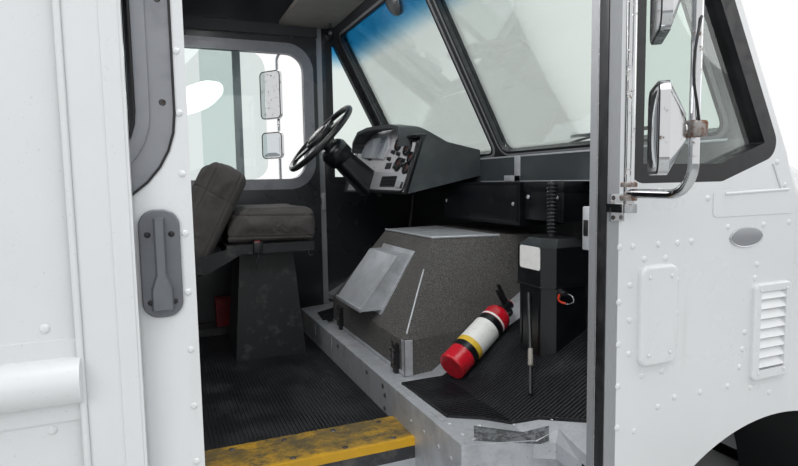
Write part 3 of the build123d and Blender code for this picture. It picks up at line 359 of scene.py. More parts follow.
nosing_yellow = Finish("nosing_yellow", (176, 140, 40), 0.6)
tread_share = nosing_yellow.rising(nosing_yellow.along(1), -0.604, -0.575)
chipped = nosing_yellow.patches(0.48, 0.60, 24, 12, 0.78, (0.6, 1.1, 1)) * tread_share
grime = nosing_yellow.patches(0.22, 0.62, 9, 8, 0.75) * (0.2 + 0.8 * tread_share)
paint = nosing_yellow.tint(grime, (226, 172, 26), (106, 90, 50))
nosing_yellow.paint(chipped * 0.85, paint, (82, 74, 56))
nosing_yellow.give("Roughness", 0.5 + 0.2 * chipped)
nosing_yellow.relief(nosing_yellow.grain(140, 4, 0.7) - 0.5 * chipped, 0.0007)
dress(nosing_yellow, "step_nosing")

bolt_steel = Finish("bolt_steel", (70, 68, 66), 0.45, 0.7, slot="frame_steel")
tarnish = bolt_steel.patches(0.42, 0.62, 90, 5, 0.7)
bolt_steel.mottle(tarnish, (96, 96, 98), (58, 46, 38), 0.35, 0.35)
bolt_steel.relief(tarnish, 0.0003)


def aimed(facing):
    """The turn that takes a piece from facing up to facing another way."""
    return Vector((0, 0, 1)).rotation_difference(Vector(facing)).to_matrix().to_4x4()


def studs(places, facing, radius, height, sides=10):
    """Domed heads standing on a face: one is turned as half a ball, and copied to each place."""
    fresh()
    bpy.ops.mesh.primitive_uv_sphere_add(segments=sides, ring_count=6, radius=radius)
    first = bpy.context.object
    with editing(first):
        bpy.ops.mesh.bisect(plane_co=(0, 0, 0), plane_no=(0, 0, 1), clear_inner=True, use_fill=True)
        bpy.ops.mesh.select_all(action="SELECT")
        bpy.ops.transform.resize(value=(1, 1, height / radius), center_override=(0, 0, 0))
    bpy.ops.object.shade_smooth_by_angle(angle=radians(50))
    heads = [another(first, Matrix.Translation(place) @ aimed(facing)) for place in places]
    bpy.data.objects.remove(first)
    return joined(heads)


nosing_bolts = [(-0.60 + 0.155 * number, across, nosing_top) for number in range(5)
                for across in (-0.452, -0.580)]
keep(studs(nosing_bolts, (0, 0, 1), nosing_bolt_r, 0.0025, 14), "nosing_bolts", bolt_steel)

# Front platform: riser and folded deck in aluminium plate, lapped and riveted at the seams.
# Ribbed rubber lies on the deck and up the toe-board, with its ribs along the cab.
platform_rear = 0.080
platform_top = 0.515
slope_start = 0.270
toe_slope = tan(radians(28))
mat_thick = 0.008
toe_end = 0.855
rivet_r = 0.0075
rivet_h = 0.0032
first_rib_y = -0.430
last_rib_y = -1.092
rib_inset = 0.004
left_bare_y = 0.500
left_bare_width = 0.160
facing_back = (-1, 0, 0)
mat_edge = [(-0.422, 0.116), (-0.726, 0.128), (-0.785, 0.217), (-0.900, 0.320), (-1.100, 0.410)]


def deck_z(x):
    """Height of the deck at a distance forward."""
    return platform_top + max(0, x - slope_start) * toe_slope


def mat_start(across):
    """Where the platform mat begins, at a distance out from the cab's middle."""
    for (y0, x0), (y1, x1) in zip(mat_edge, mat_edge[1:]):
        if y1 <= across <= y0:
            return x0 + (x1 - x0) * (y0 - across) / (y0 - y1)
    return mat_edge[0][1]


def cut_sheet(outline):
    """A flat sheet cut to an outline on the level, facing up."""
    fresh()
    bpy.ops.mesh.primitive_circle_add(vertices=len(outline), radius=1, fill_type="NGON")
    made = bpy.context.object
    for corner, (x, y) in zip(made.data.vertices, outline):
        corner.co = (x, y, 0)
    made.data.update()
    if made.data.polygons[0].normal.z < 0:
        with editing(made):
            bpy.ops.mesh.flip_normals()
    return made


def thickened(made, thickness):
    """Gives a flat sheet its thickness, up from where it lies."""
    alone(made)
    stock = made.modifiers.new("stock", "SOLIDIFY")
    stock.thickness = thickness
    stock.offset = 1
    bpy.ops.object.modifier_apply(modifier=stock.name)
    return made


def cut_frame(outline, band, thickness):
    """A flat band along the inside of an outline."""
    made = cut_sheet(outline)
    with editing(made):
        bpy.ops.mesh.inset(thickness=band, use_boundary=True)
        bpy.ops.mesh.delete(type="FACE")
    return thickened(made, thickness)


def laid(outline, thickness):
    """A plate cut in plan and laid over the deck, bent where the deck bends."""
    made = cut_sheet(outline)
    with editing(made):
        bpy.ops.mesh.bisect(plane_co=(slope_start, 0, 0), plane_no=(1, 0, 0))
    made = thickened(made, thickness)
    for corner in made.data.vertices:
        corner.co.z += deck_z(corner.co.x) + lift
    return made


def strip(start, end, width):
    """Plan of a straight strip between two points."""
    (x0, y0), (x1, y1) = start, end
    run = Vector((x1 - x0, y1 - y0)).normalized() * width / 2
    return [(x0 - run.y, y0 + run.x), (x0 + run.y, y0 - run.x),
            (x1 + run.y, y1 - run.x), (x1 - run.y, y1 + run.x)]


def toe_rib(y, start):
    """One rib of the platform mat: a bar cut at the bend and laid up the toe-board."""
    made = rib((0, y), (toe_end, y), rib_width / 2, 0, rib_height)
    with editing(made):
        bpy.ops.mesh.bisect(plane_co=(start, 0, 0), plane_no=(1, 0, 0), clear_inner=True, use_fill=True)
        bpy.ops.mesh.select_all(action="SELECT")
        if start < slope_start:
            bpy.ops.mesh.bisect(plane_co=(slope_start, 0, 0), plane_no=(1, 0, 0))
    for corner in made.data.vertices:
        corner.co.z += deck_z(corner.co.x) + mat_thick
    return made


toe_ribs = []
across = first_rib_y
while across > last_rib_y:
    start = mat_start(across) + rib_inset
    toe_ribs.append(toe_rib(across, start))
    if across < -0.45:
        outward = left_bare_width if -across < left_bare_y else 0
        toe_ribs.append(toe_rib(-across + outward, start))
    across -= rib_pitch
keep(joined(toe_ribs), "platform_mat_ribs", mat_rubber)

deck_trims = [
    laid(strip((0.109, -0.432), (0.113, -0.745), 0.020), 0.0016),
    laid(strip((0.085, -0.899), (0.268, -0.955), 0.006), 0.0012),
    laid(strip((0.083, -0.424), (0.083, -0.896), 0.006), 0.0012),
]
deck_trims += [block((platform_rear - 0.0015, across, 0.440), (platform_rear - 0.0002, across + 0.26, 0.513))
               for across in (0.300, 0.585)]
keep(soften(joined(deck_trims), 0.0004, 1), "deck_trims", plate_aluminium)
gusset_low = 0.470
gusset_rear = (0.262, -0.9570, 0.5152)
gusset_point = (0.3108, -0.9867, 0.5150)
gusset_top = (0.3265, -0.9770, 0.5460)
gusset_outer = (0.3105, -1.0860, 0.5370)
gusset_fold = (0.3090, -1.0760, 0.5080)
gussets = []
for corners in ((gusset_rear, gusset_point, gusset_top), (gusset_point, gusset_fold, gusset_top),
                (gusset_fold, gusset_outer, gusset_top)):
    plate = thickened(cut_sheet([corner[:2] for corner in corners]), 0.010)
    for corner in plate.data.vertices:
        nearest = min(corners, key=lambda spot: (spot[0] - corner.co.x) ** 2 + (spot[1] - corner.co.y) ** 2)
        corner.co.z = nearest[2] if corner.co.z > 0.005 else gusset_low
    gussets.append(plate)
keep(joined(gussets), "deck_gusset", plate_aluminium)
deck_spots = [(0.189, -0.730), (0.119, -0.763), (0.189, -0.810), (0.274, -0.854), (0.341, -0.934),
              (0.118, -0.840), (0.130, -0.878)]
deck_heads = studs([(x, y, deck_z(x)) for x, y in deck_spots], (0, 0, 1), rivet_r, rivet_h)
riser_spots = [(-0.578, 0.456), (-0.672, 0.459), (-0.767, 0.455), (-0.842, 0.455)]
riser_heads = studs([(platform_rear, y, z) for y, z in riser_spots], facing_back, rivet_r, rivet_h)
keep(joined([deck_heads, riser_heads]), "platform_rivets", plate_aluminium)
riser_bolt_spots = [(-0.173, 0.488), (-0.339, 0.489), (-0.357, 0.462), (-0.354, 0.415), (0.200, 0.488)]
keep(studs([(platform_rear, y, z) for y, z in riser_bolt_spots], facing_back, 0.009, 0.005, 6),
     "platform_bolts", bolt_steel)

worn_tape = Finish("worn_tape", (66, 66, 68), 0.8, slot="mat_rubber")
scrubbed = worn_tape.patches(0.47, 0.56, 34, 9, 0.75)
worn_tape.paint(scrubbed * 0.5, (70, 72, 74), (140, 143, 147))
worn_tape.give("Roughness", 0.9 - 0.4 * scrubbed)
worn_tape.relief(worn_tape.grain(500, 3, 0.7) - scrubbed, 0.0005)
tape_plan = [(0.170, -0.808), (0.320, -0.945), (0.288, -0.987), (0.124, -0.888)]
keep(laid(tape_plan, 0.0008), "grip_tape", worn_tape)

# Body sides: painted aluminium sheet on posts, riveted along every seam, with a rub rail each side.
# The paint is an off-white that has gone a little chalky, with road film low down, and dark green inside,
# which is partly its own colour and partly painted shade of the cab's interior.
outer_y = -1.200
rear_skin_y = -1.194
post_rear_x = -0.730
post_seam_x = -0.680
post_foot = 0.05
post_head = 2.08
rub_rivet_x = -0.772
rub_pitch = 0.098
rub_edges = (0.838, 0.992)
rivet_pitch = 0.0975
row_start = -1.600
top_row_z = 2.070
rear_column_x = -1.615
rear_column_foot = 0.12
facing_right = (0, -1, 0)

white_paint = Finish("white_paint", (225, 226, 226), 0.32, 0.0, 0.35)
ripple = white_paint.grain(3, 3, 0.5)
chalk = white_paint.patches(0.4, 0.75, 1.6, 6, 0.6)
streak = white_paint.patches(0.58, 0.8, 9, 6, 0.7, (1, 1, 0.12))
low_down = white_paint.rising(0.75 - white_paint.along(2), 0.0, 0.75)
fine = white_paint.patches(0.66, 0.74, 220, 3, 0.6)
film = white_paint.tint(chalk * 0.5, (222, 224, 225), (211, 213, 214))
film = white_paint.tint(streak * 0.35, film, (186, 184, 178))
film = white_paint.tint(low_down * 0.35, film, (176, 172, 164))
film = white_paint.tint(fine * 0.3, film, (120, 112, 100))
# Faces that look into the cab are painted dark: partly the inside's own colour, partly painted shade of the
# cab's interior.
white_paint.paint(white_paint.inward((0, 1, 0)), film, (40, 43, 47))
white_paint.give("Roughness", 0.26 + 0.2 * chalk + 0.2 * low_down)
white_paint.relief(ripple + 0.02 * white_paint.grain(300, 2, 0.5), 0.0022, 0.6)
dress(white_paint, "body_side_left", "body_side_right", "side_panel_left", "side_panel_right",
      "door_panel_left", "door_panel_right", "rub_rails", "side_covers", "side_vents")

panel_rivets = [
    (309, 926), (309, 1047), (310, 641), (310, 736), (310, 831), (340, 806), (340, 882), (340, 961),
    (345, 1047), (360, 624), (379, 751), (380, 1016), (420, 1047), (430, 669), (440, 752), (443, 1015),
    (478, 807), (479, 884), (480, 962), (479, 1047), (482, 683), (522, 1048), (565, 682), (641, 1076),
    (659, 682), (698, 725), (706, 769), (713, 811), (741, 666), (742, 944), (748, 978), (765, 1076),
    (811, 642), (859, 1078), (869, 822), (870, 713), (420, 1166), (479, 1167), (571, 1146),
    (806, 1229), (838, 1172),
]


def other_side(made):
    """The same piece on the left side, turned the right way out again."""
    twin = another(made, Matrix.Scale(-1, 4, (0, 1, 0)))
    with editing(twin):
        bpy.ops.mesh.normals_make_consistent(inside=False)
    return twin


def both_sides(made, name, finish):
    """Keeps a piece on the right side and its twin on the left."""
    keep(other_side(made), name + "_left", finish)
    keep(made, name + "_right", finish)


def stood(origin, out):
    """Where a flat piece goes: its middle and the way it faces, with its own upward way kept up."""
    out = Vector(out).normalized()
    side = Vector((0, 0, 1)).cross(out).normalized()
    return Matrix.Translation(origin) @ Matrix((side, out.cross(side), out)).transposed().to_4x4()


def rounded(width, height, corner, steps=5):
    """Outline of a rectangle with round corners, about its middle."""
    outline = []
    for quarter, (side, end) in enumerate(((1, 1), (-1, 1), (-1, -1), (1, -1))):
        for step in range(steps + 1):
            turn = radians(90 * quarter + 90 * step / steps)
            outline.append((side * (width / 2 - corner) + corner * cos(turn),
                            end * (height / 2 - corner) + corner * sin(turn)))
    return outline


def lathed(steps, place=(0, 0, 0), facing=(0, 0, 1), sides=32, bend=35):
    """A round piece drawn up from a disc: each step is a radius and how far out it stands."""
    fresh()
    bpy.ops.mesh.primitive_circle_add(vertices=sides, radius=steps[0][0], fill_type="NGON")
    made = bpy.context.object
    with editing(made):
        for (near_r, near_h), (far_r, far_h) in zip(steps, steps[1:]):
            bpy.ops.mesh.extrude_region_move(TRANSFORM_OT_translate={"value": (0, 0, far_h - near_h)})
            bpy.ops.transform.resize(value=(far_r / near_r, far_r / near_r, 1))
        bpy.ops.mesh.select_all(action="SELECT")
        bpy.ops.mesh.normals_make_consistent(inside=False)
    bpy.ops.object.shade_smooth_by_angle(angle=radians(bend))
    return placed(made, Matrix.Translation(place) @ aimed(facing))


def drawn_line(name, points, radius, steps=8):
    """A round line through a few points, still drawn as a curve."""
    line = bpy.data.curves.new(name, "CURVE")
    line.dimensions = "3D"
    line.bevel_depth = radius
    line.bevel_resolution = 3
    line.resolution_u = steps
    line.use_fill_caps = True
    run = line.splines.new("NURBS")
    run.points.add(len(points) - 1)
    for point, place in zip(run.points, points):
        point.co = (*place, 1)
    run.order_u = 3
    run.use_endpoint_u = True
    made = bpy.data.objects.new(name, line)
    bpy.context.collection.objects.link(made)
    return made


def tube(points, radius):
    """A round bar or hose through a few points, smooth where it bends."""
    alone(drawn_line("line", points, radius))
    bpy.ops.object.convert(target="MESH")
    bpy.ops.object.shade_smooth_by_angle(angle=radians(40))
    return bpy.context.object


side_spots = [(x / 1000, outer_y, z / 1000) for x, z in panel_rivets]
side_spots += [(rub_rivet_x - rub_pitch * number, rear_skin_y, z) for number in range(9) for z in rub_edges]
top_row = [row_start + rivet_pitch * number for number in range(21)]
side_spots += [(x, rear_skin_y if x < post_rear_x else outer_y, top_row_z) for x in top_row]
side_spots += [(rear_column_x, rear_skin_y, rear_column_foot + rivet_pitch * number) for number in range(20)]
both_sides(studs(side_spots, facing_right, rivet_r, rivet_h), "side_rivets", white_paint)

wing_patch = thickened(cut_sheet(rounded(0.288, 0.064, 0.012)), 0.0014)
wing_patch = placed(wing_patch, stood((0.732, outer_y, 1.132), facing_right))
wing_beads = [tube([(x, outer_y - 0.001, z) for x, z in run], radius) for run, radius in (
    (((0.625, 1.155), (0.735, 1.158), (0.850, 1.161)), 0.004),
    (((0.791, 1.226), (0.808, 1.195), (0.824, 1.166)), 0.003),
)]
both_sides(soften(joined([wing_patch, *wing_beads]), 0.0006, 1), "wing_patch", white_paint)

post_beads = [
    tube([(post_seam_x - 0.048, outer_y - 0.002, z) for z in (post_foot, post_head)], 0.005),
    block((post_seam_x + 0.004, outer_y - 0.0012, post_foot), (post_seam_x + 0.030, outer_y, post_head)),
]
both_sides(soften(joined(post_beads), 0.0005, 1), "post_beads", white_paint)

badge_chrome = Finish("badge_chrome", (190, 192, 194), 0.2, 1.0, slot="chrome_tube")
badge_chrome.give("Roughness", 0.15 + 0.2 * badge_chrome.grain(120, 4, 0.6))
badge_chrome.grained(0.0002, 200, 3, 0.6)
badge_grey = Finish("badge_grey", (150, 152, 156), 0.3, 0.6, slot="panel_silver")
flake = badge_grey.grain(900, 2, 0.5)
badge_grey.paint(flake, (136, 138, 142), (170, 172, 176))
badge_grey.give("Roughness", 0.25 + 0.15 * badge_grey.grain(30, 4, 0.6))
badge_rim = lathed([(0.058, 0), (0.058, 0.0022), (0.0555, 0.0034), (0.0530, 0.0028)], sides=48)
badge_face = lathed([(0.0525, 0.0020), (0.0525, 0.0031), (0.0500, 0.0034)], (0, 0, 0.0020), sides=48)
oval = stood((0.705, outer_y, 1.048), facing_right) @ Matrix.Diagonal((1, 24 / 58, 1, 1))
both_sides(placed(badge_rim, oval), "badge_rim", badge_chrome)
both_sides(placed(badge_face, oval), "badge_face", badge_grey)

vent_screws = [Vector((x, -1.2125, z)) for x in (0.752, 0.847) for z in (0.703, 0.913)]
cover_screws = [Vector((x, -1.2145, z)) for x in (0.385, 0.449) for z in (0.800, 0.976)]
both_sides(studs(vent_screws + cover_screws, facing_right, 0.005, 0.002), "cover_screws", white_paint)

# Doorways and sliding doors: painted panels in grey extruded window frames that rivet and screw on.
# Each doorway's front edge is an aluminium jamb with a soft black rubber along it, and a bright bead.
jamb_x = 0.273
jamb_in_y = -1.144
door_face_y = -1.155
window_corner = 0.153
window_middle = (-1.003, 1.5675)
window_size = (0.846, 0.815)
closed_shift = 0.826
door_columns = (-0.571, -1.494)
door_column_foot = 0.144
door_rows = (0.100, 2.030)
door_row_start = -1.410

jamb_aluminium = Finish("jamb_aluminium", (128, 130, 133), 0.45, 0.4)
drawn = jamb_aluminium.grain(50, 4, 0.6, (14, 14, 0.6))
jamb_aluminium.mottle(drawn, (132, 134, 137), (172, 174, 177), 0.36, 0.2)
jamb_aluminium.relief(drawn, 0.0003)
dress(jamb_aluminium, "door_jambs")

black_rubber = Finish("black_rubber", (24, 25, 27), 0.5)
black_rubber.mottle(black_rubber.patches(0.4, 0.75, 30, 5, 0.6), (15, 16, 19), (36, 36, 40), 0.42, 0.25)
black_rubber.grained(0.0003, 260)
dress(black_rubber, "quarter_seals", "cover_latches", "pedals")

jamb_rubber = soften(block((jamb_x - 0.003, -1.1990, 0.066), (jamb_x, -1.1725, 2.000)), 0.0012)
both_sides(jamb_rubber, "jamb_rubber", black_rubber)
jamb_bead = tube([(jamb_x - 0.001, -1.1700, 0.066), (jamb_x - 0.001, -1.1700, 2.000)], 0.0016)
both_sides(jamb_bead, "jamb_bead", badge_chrome)
striker = soften(block((0.2745, jamb_in_y, 1.036), (0.300, -1.120, 1.134)), 0.002)
striker_slot = block((0.2725, -1.139, 1.068), (0.2755, -1.125, 1.104))
both_sides(striker, "door_striker", plate_aluminium)
both_sides(soften(striker_slot, 0.001), "striker_slot", black_rubber)

grey_frame = Finish("grey_frame", (150, 156, 164), 0.4, 0.3)
grey_frame.mottle(grey_frame.patches(0.45, 0.75, 12, 6, 0.6), (138, 140, 145), (122, 124, 130), 0.32, 0.2)
grey_frame.grained(0.0002, 200)
dress(grey_frame, "door_window_frame_left", "door_window_frame_right")

cast_grey = Finish("cast_grey", (112, 114, 119), 0.34, 0.35)
cast = cast_grey.patches(0.3, 0.8, 16, 4, 0.5)
cast_grey.mottle(cast, (112, 115, 120), (98, 100, 105), 0.3, 0.12)
cast_grey.grained(0.0003, 180)
dress(cast_grey, "door_handle_left", "door_handle_right")


def closed_left(made):
    """A piece of the open right door, made again for the closed left one."""
    twin = other_side(made)
    return placed(twin, Matrix.Translation((closed_shift, 0, 0)))


def on_doors(made, name, finish):
    """Keeps a piece on the right door and its twin on the left."""
    keep(closed_left(made), name + "_left", finish, "door_left")
    keep(made, name + "_right", finish, "door_right")


def window_band(inset, band, thickness):
    """A band round the door's window, as far in from the frame's edge as the inset says."""
    outline = rounded(window_size[0] - 2 * inset, window_size[1] - 2 * inset, window_corner - inset, 8)
    made = cut_frame(outline, band, thickness)
    return placed(made, stood((window_middle[0], door_face_y, window_middle[1]), facing_right))


on_doors(soften(window_band(0.034, 0.021, 0.0045), 0.0018), "window_ridge", grey_frame)
on_doors(soften(window_band(-0.004, 0.004, 0.0030), 0.0010), "window_gasket", black_rubber)
on_doors(soften(window_band(0.055, 0.004, 0.0025), 0.0008), "glazing_rubber", black_rubber)
screw_spots = [(x, door_face_y, z) for x in (-0.595, -1.411) for z in (1.330, 1.490, 1.650, 1.810)]
screw_spots += [(x, door_face_y, z) for x in (-1.270, -1.090, -0.915, -0.740) for z in (1.176, 1.959)]
on_doors(studs(screw_spots, facing_right, 0.0055, 0.0022, 12), "window_screws", bolt_steel)
door_spots = [(x, door_face_y, door_column_foot + rivet_pitch * number) for x in door_columns
              for number in range(19)]
door_spots += [(door_row_start + rivet_pitch * number, door_face_y, z) for number in range(8)
               for z in door_rows]
on_doors(studs(door_spots, facing_right, 0.006, 0.0026), "door_rivets", white_paint)
handle_spots = [(x, -1.162, z) for z in (1.010, 1.120) for x in (-0.628, -0.592)]
on_doors(studs(handle_spots, facing_right, 0.0050, 0.0020, 12), "handle_screws", black_rubber)


class Glass(Finish):
    """Clear glass: what is behind it shows through, with a gloss that grows at the edge of view."""

    def __init__(self, name, tone, gloss=0.03, banded=False):
        super().__init__(name, (255, 255, 255), 0.05, slot="clear_glass")
        self.give("Base Color", tone)
        through = self.node("ShaderNodeBsdfTransparent", {}, {"Color": tone})
        if banded:
            shade = self.node("ShaderNodeBsdfTransparent", {}, {"Color": (0.10, 0.42, 0.62, 1)})
            band = self.rising(self.along(2), 1.84, 1.98)
            through = self.node("ShaderNodeMixShader", {}, {0: band, 1: through, 2: shade})
        shine = self.node("ShaderNodeBsdfGlossy", {}, {"Color": (1, 1, 1, 1), "Roughness": 0.02})
        facing = self.node("ShaderNodeLayerWeight", {}, {"Blend": 0.2}, "Fresnel")
        both = self.node("ShaderNodeMixShader", {}, {0: facing * 0.6 + gloss, 1: through, 2: shine})
        self.tree.links.new(both.socket, self.tree.nodes["Material Output"].inputs["Surface"])


dress(Glass("clear_glass", (0.86, 0.9, 0.89, 1)), "door_glass_left", "door_glass_right")
dress(Glass("screen_glass", (0.88, 0.92, 0.90, 1), banded=True), "fixed_glass")

# Roof: one shell moulded in white gel coat, riveted down along both sides.
# Rain has left faint streaks on the outside, and the underside is dark and plain, partly its own colour and
# partly painted shade of the cab's interior.
roof_seam_y = -1.200
roof_seam_z = 2.140

roof_white = Finish("roof_white", (225, 226, 226), 0.34, 0.0, 0.3, slot="white_paint")
rain = roof_white.patches(0.5, 0.8, 5, 6, 0.7, (1, 1, 0.2))
weathered = roof_white.tint(rain * 0.4, (222, 224, 225), (190, 189, 184))
# Faces that look into the cab are painted near-black: partly the inside's own colour, partly painted shade.
roof_white.paint(roof_white.inward((0, 1, 1)), weathered, (36, 38, 42))
roof_white.give("Roughness", 0.28 + 0.25 * rain)
roof_white.grained(0.0018, 3, 3, 0.5)
dress(roof_white, "roof")
roof_spots = [(row_start + rivet_pitch * number, roof_seam_y, roof_seam_z) for number in range(20)]
both_sides(studs(roof_spots, facing_right, rivet_r, rivet_h), "roof_rivets", roof_white)

# Bulkhead and linings: sheet panels inside, in a dark grey-green that is scuffed by boots and boxes.
# The overhead panel is a lighter, beige-grey moulding with the header's seams.
inner_lining = Finish("inner_lining", (62, 68, 69), 0.6)
inner_lining.mottle(inner_lining.patches(0.4, 0.8, 4, 6, 0.6), (36, 39, 43), (56, 59, 62), 0.5, 0.2)
inner_lining.grained(0.0004, 240, 3, 0.6)
dress(inner_lining, "bulkhead", "door_pockets")
header_beige = Finish("header_beige", (112, 106, 98), 0.6, slot="inner_lining")
header_beige.mottle(header_beige.patches(0.4, 0.75, 3, 5, 0.6), (150, 145, 138), (126, 121, 115), 0.5, 0.15)
header_beige.grained(0.0004, 300, 3, 0.6)
dress(header_beige, "overhead_panel")

# Windscreen frame and firewall: dark moulded trim, with bright retaining strips round each pane.
# Two wipers are parked along the foot of the glass, on spindles through the cowl.
glass_lean = 0.52
frame_depth = 0.0355
pane_middle = (0.5595, 0.44185)
pane_size = (1.051, 0.7997)
pane_corner = 0.040

dark_trim = Finish("dark_trim", (44, 46, 49), 0.5)
dark_trim.mottle(dark_trim.patches(0.5, 0.78, 18, 6, 0.65), (40, 42, 45), (74, 75, 77), 0.4, 0.25)
dark_trim.grained(0.0004, 320, 2, 0.6)
dress(dark_trim, "windscreen_frame", "firewall")

screen = stood((0.8197, 0, 1.290), (1, 0, glass_lean))


def round_pane(side, grow, band, thickness):
    """A band round one pane, on the frame's inner face."""
    outline = rounded(pane_size[0] + 2 * grow, pane_size[1] + 2 * grow, pane_corner + grow, 6)
    made = cut_frame(outline, band, thickness)
    inside = Matrix.Translation((side * pane_middle[0], pane_middle[1], -frame_depth)) @ Matrix.Rotation(
        radians(180), 4, "Y")
    return placed(made, screen @ inside)


spindle_x = 0.34
for word, side in (("right", -1), ("left", 1)):
    keep(soften(round_pane(side, 0.020, 0.013, 0.0035), 0.0012), "pane_strip_" + word, jamb_aluminium)
    keep(soften(round_pane(side, 0.006, 0.009, 0.0050), 0.0015), "pane_rubber_" + word, black_rubber)
    spindle = lathed([(0.016, 0), (0.016, 0.012), (0.011, 0.020)],
                     screen @ Vector((side * spindle_x, 0.020, 0.001)), (1, 0, glass_lean), 20)
    arm = tube([screen @ Vector((side * x, y, z)) for x, y, z in
                ((spindle_x, 0.020, 0.016), (0.46, 0.045, 0.020), (0.66, 0.062, 0.012))], 0.0045)
    blade = placed(block((-0.26, -0.006, 0.001), (0.26, 0.006, 0.010)),
                   screen @ Matrix.Translation((side * 0.70, 0.062, 0)))
    keep(joined([spindle, arm, soften(blade, 0.003)]), "wiper_" + word, black_rubber)

# Cab fan and dome speaker: small black fittings on the header, clear of the driver's head.
# The fan stands on a stalk inside a wire cage, and the speaker has a dome of punched metal.
fan_place = Vector((0.318, 1.000, 2.012))
fan_facing = Vector((-0.80, -0.55, -0.15)).normalized()
black_plastic = Finish("black_plastic", (32, 33, 35), 0.5)
worn = black_plastic.patches(0.48, 0.78, 22, 6, 0.65)
black_plastic.paint(worn * 0.5, (14, 16, 20), (36, 37, 40))
black_plastic.give("Roughness", 0.30 + 0.12 * worn)
black_plastic.grained(0.0003, 380, 2, 0.6)
dress(black_plastic, "arch_liners", "electrical_box", "steering_column", "lubricator_box", "grille")

fan_frame = Matrix.Translation(fan_place) @ aimed(fan_facing)
fan_parts = [
    lathed([(0.026, -0.030), (0.030, -0.010), (0.012, 0.000), (0.010, 0.014)], fan_place, fan_facing, 24),
    tube([fan_place - fan_facing * 0.020, fan_place + Vector((0, 0, 0.030)), (0.318, 1.000, 2.069)], 0.007),
]


def hooped(radius, thickness, sides):
    """A round wire hoop, lying flat."""
    fresh()
    bpy.ops.mesh.primitive_torus_add(major_radius=radius, minor_radius=thickness, major_segments=32,
                                     minor_segments=sides)
    return bpy.context.object


for reach in (0.016, 0.030, 0.044):
    hoop = hooped(reach, 0.0012, 6)
    with editing(hoop):
        bpy.ops.transform.translate(value=(0, 0, 0.030 - reach * 0.35))
    fan_parts.append(placed(hoop, fan_frame))
for number in range(10):
    turn = Matrix.Rotation(radians(36 * number), 4, "Z")
    spoke = tube([(0.004, 0, 0.029), (0.046, 0, 0.014), (0.030, 0, -0.008)], 0.0011)
    fan_parts.append(placed(spoke, fan_frame @ turn))
vane_pitch = Matrix.Rotation(radians(25), 4, "X")
for number in range(4):
    vane = block((0.008, -0.012, 0.004), (0.040, 0.012, 0.006))
    vane = placed(vane, fan_frame @ Matrix.Rotation(radians(90 * number), 4, "Z") @ vane_pitch)
    fan_parts.append(soften(vane, 0.0008, 1))
keep(joined(fan_parts), "cab_fan", black_plastic)

mesh_grille = Finish("mesh_grille", (52, 54, 56), 0.4, 0.6, slot="black_plastic")
holes = mesh_grille.node("ShaderNodeTexVoronoi", {}, {"Vector": mesh_grille.place, "Scale": 130.0})
open_hole = mesh_grille.rising(holes, 0.28, 0.36)
mesh_grille.paint(open_hole, (12, 12, 13), (132, 134, 136))
mesh_grille.relief(open_hole, 0.0008)
dome_out = -Vector((1, 0, glass_lean)).normalized()
dome = lathed([(0.058, 0), (0.058, 0.012), (0.052, 0.024), (0.036, 0.034), (0.012, 0.038)],
              Vector((0.440, 0.345, 2.010)), dome_out, 32, 60)
keep(dome, "dome_speaker", mesh_grille)

# Dash: a flat shelf with a rolled edge across the cab, and the driver's pod in pebble-grained plastic.
# A bright strip finishes the shelf's rear edge, and a bracket holds it over the engine cover.
dash_plastic = Finish("dash_plastic", (58, 64, 67), 0.55)
haze = dash_plastic.patches(0.4, 0.75, 6, 6, 0.6)
pebble = dash_plastic.node("ShaderNodeTexVoronoi", {"feature": "DISTANCE_TO_EDGE"},
                           {"Vector": dash_plastic.place, "Scale": 420.0})
dash_plastic.mottle(haze, (50, 56, 59), (74, 79, 81), 0.42, 0.2)
dash_plastic.relief(dash_plastic.rising(pebble, 0.0, 0.25), 0.0003)
dress(dash_plastic, "dash_shelf", "dash_pod")

shelf_strip = soften(block((0.7375, -1.115, 1.2855), (0.7400, 0.105, 1.2920)), 0.0008)
shelf_seam = soften(block((0.7385, -1.115, 1.1865), (0.7400, 0.105, 1.1900)), 0.0006)
shelf_bracket = soften(joined([block((0.7360, -0.205, 1.188), (0.7400, -0.165, 1.289)),
                               block((0.7360, -0.205, 1.188), (0.7400, -0.090, 1.212))]), 0.0015)
keep(joined([shelf_strip, shelf_seam]), "shelf_strips", plate_aluminium)
keep(shelf_bracket, "shelf_bracket", plate_aluminium)

# Instrument panel: a silver-grey moulding under the visor, with round gauges and a cluster under a lens.
# Its lower part is a second moulding that holds an air outlet and the rocker switches.
panel_lean = 0.3448
panel_out = (-0.945, 0, 0.326)
gauge_spots = [(0.338, 1.366, 0.034), (0.215, 1.340, 0.036), (0.150, 1.297, 0.026), (0.269, 1.271, 0.033),
               (0.165, 1.250, 0.028)]
lens_outline = [(0.802, 1.320), (0.762, 1.372), (0.696, 1.413), (0.471, 1.410), (0.436, 1.352),
                (0.477, 1.300)]

panel_silver = Finish("panel_silver", (120, 124, 126), 0.4, 0.2)
sheen = panel_silver.grain(40, 4, 0.6)
panel_silver.mottle(sheen, (196, 195, 200), (222, 221, 225), 0.32, 0.15)
panel_silver.grained(0.0002, 500, 2, 0.5)
dress(panel_silver, "instrument_panel")


def on_panel(y, z, lifted=0.0):
    """A place on the panel's face at a distance across the cab and a height."""
    origin = Vector((0.365 + (z - 1.140) * panel_lean, y, z)) + lifted * Vector(panel_out)
    return stood(origin, panel_out)


def panel_plan(outline, middle):
    """An outline read across and up the panel, about a middle on it."""
    stretch = (1 + panel_lean ** 2) ** 0.5
    return [(-(y - middle[0]), (z - middle[1]) * stretch) for y, z in outline]


gauge_rims = []
gauge_marks = []
gauge_needles = []


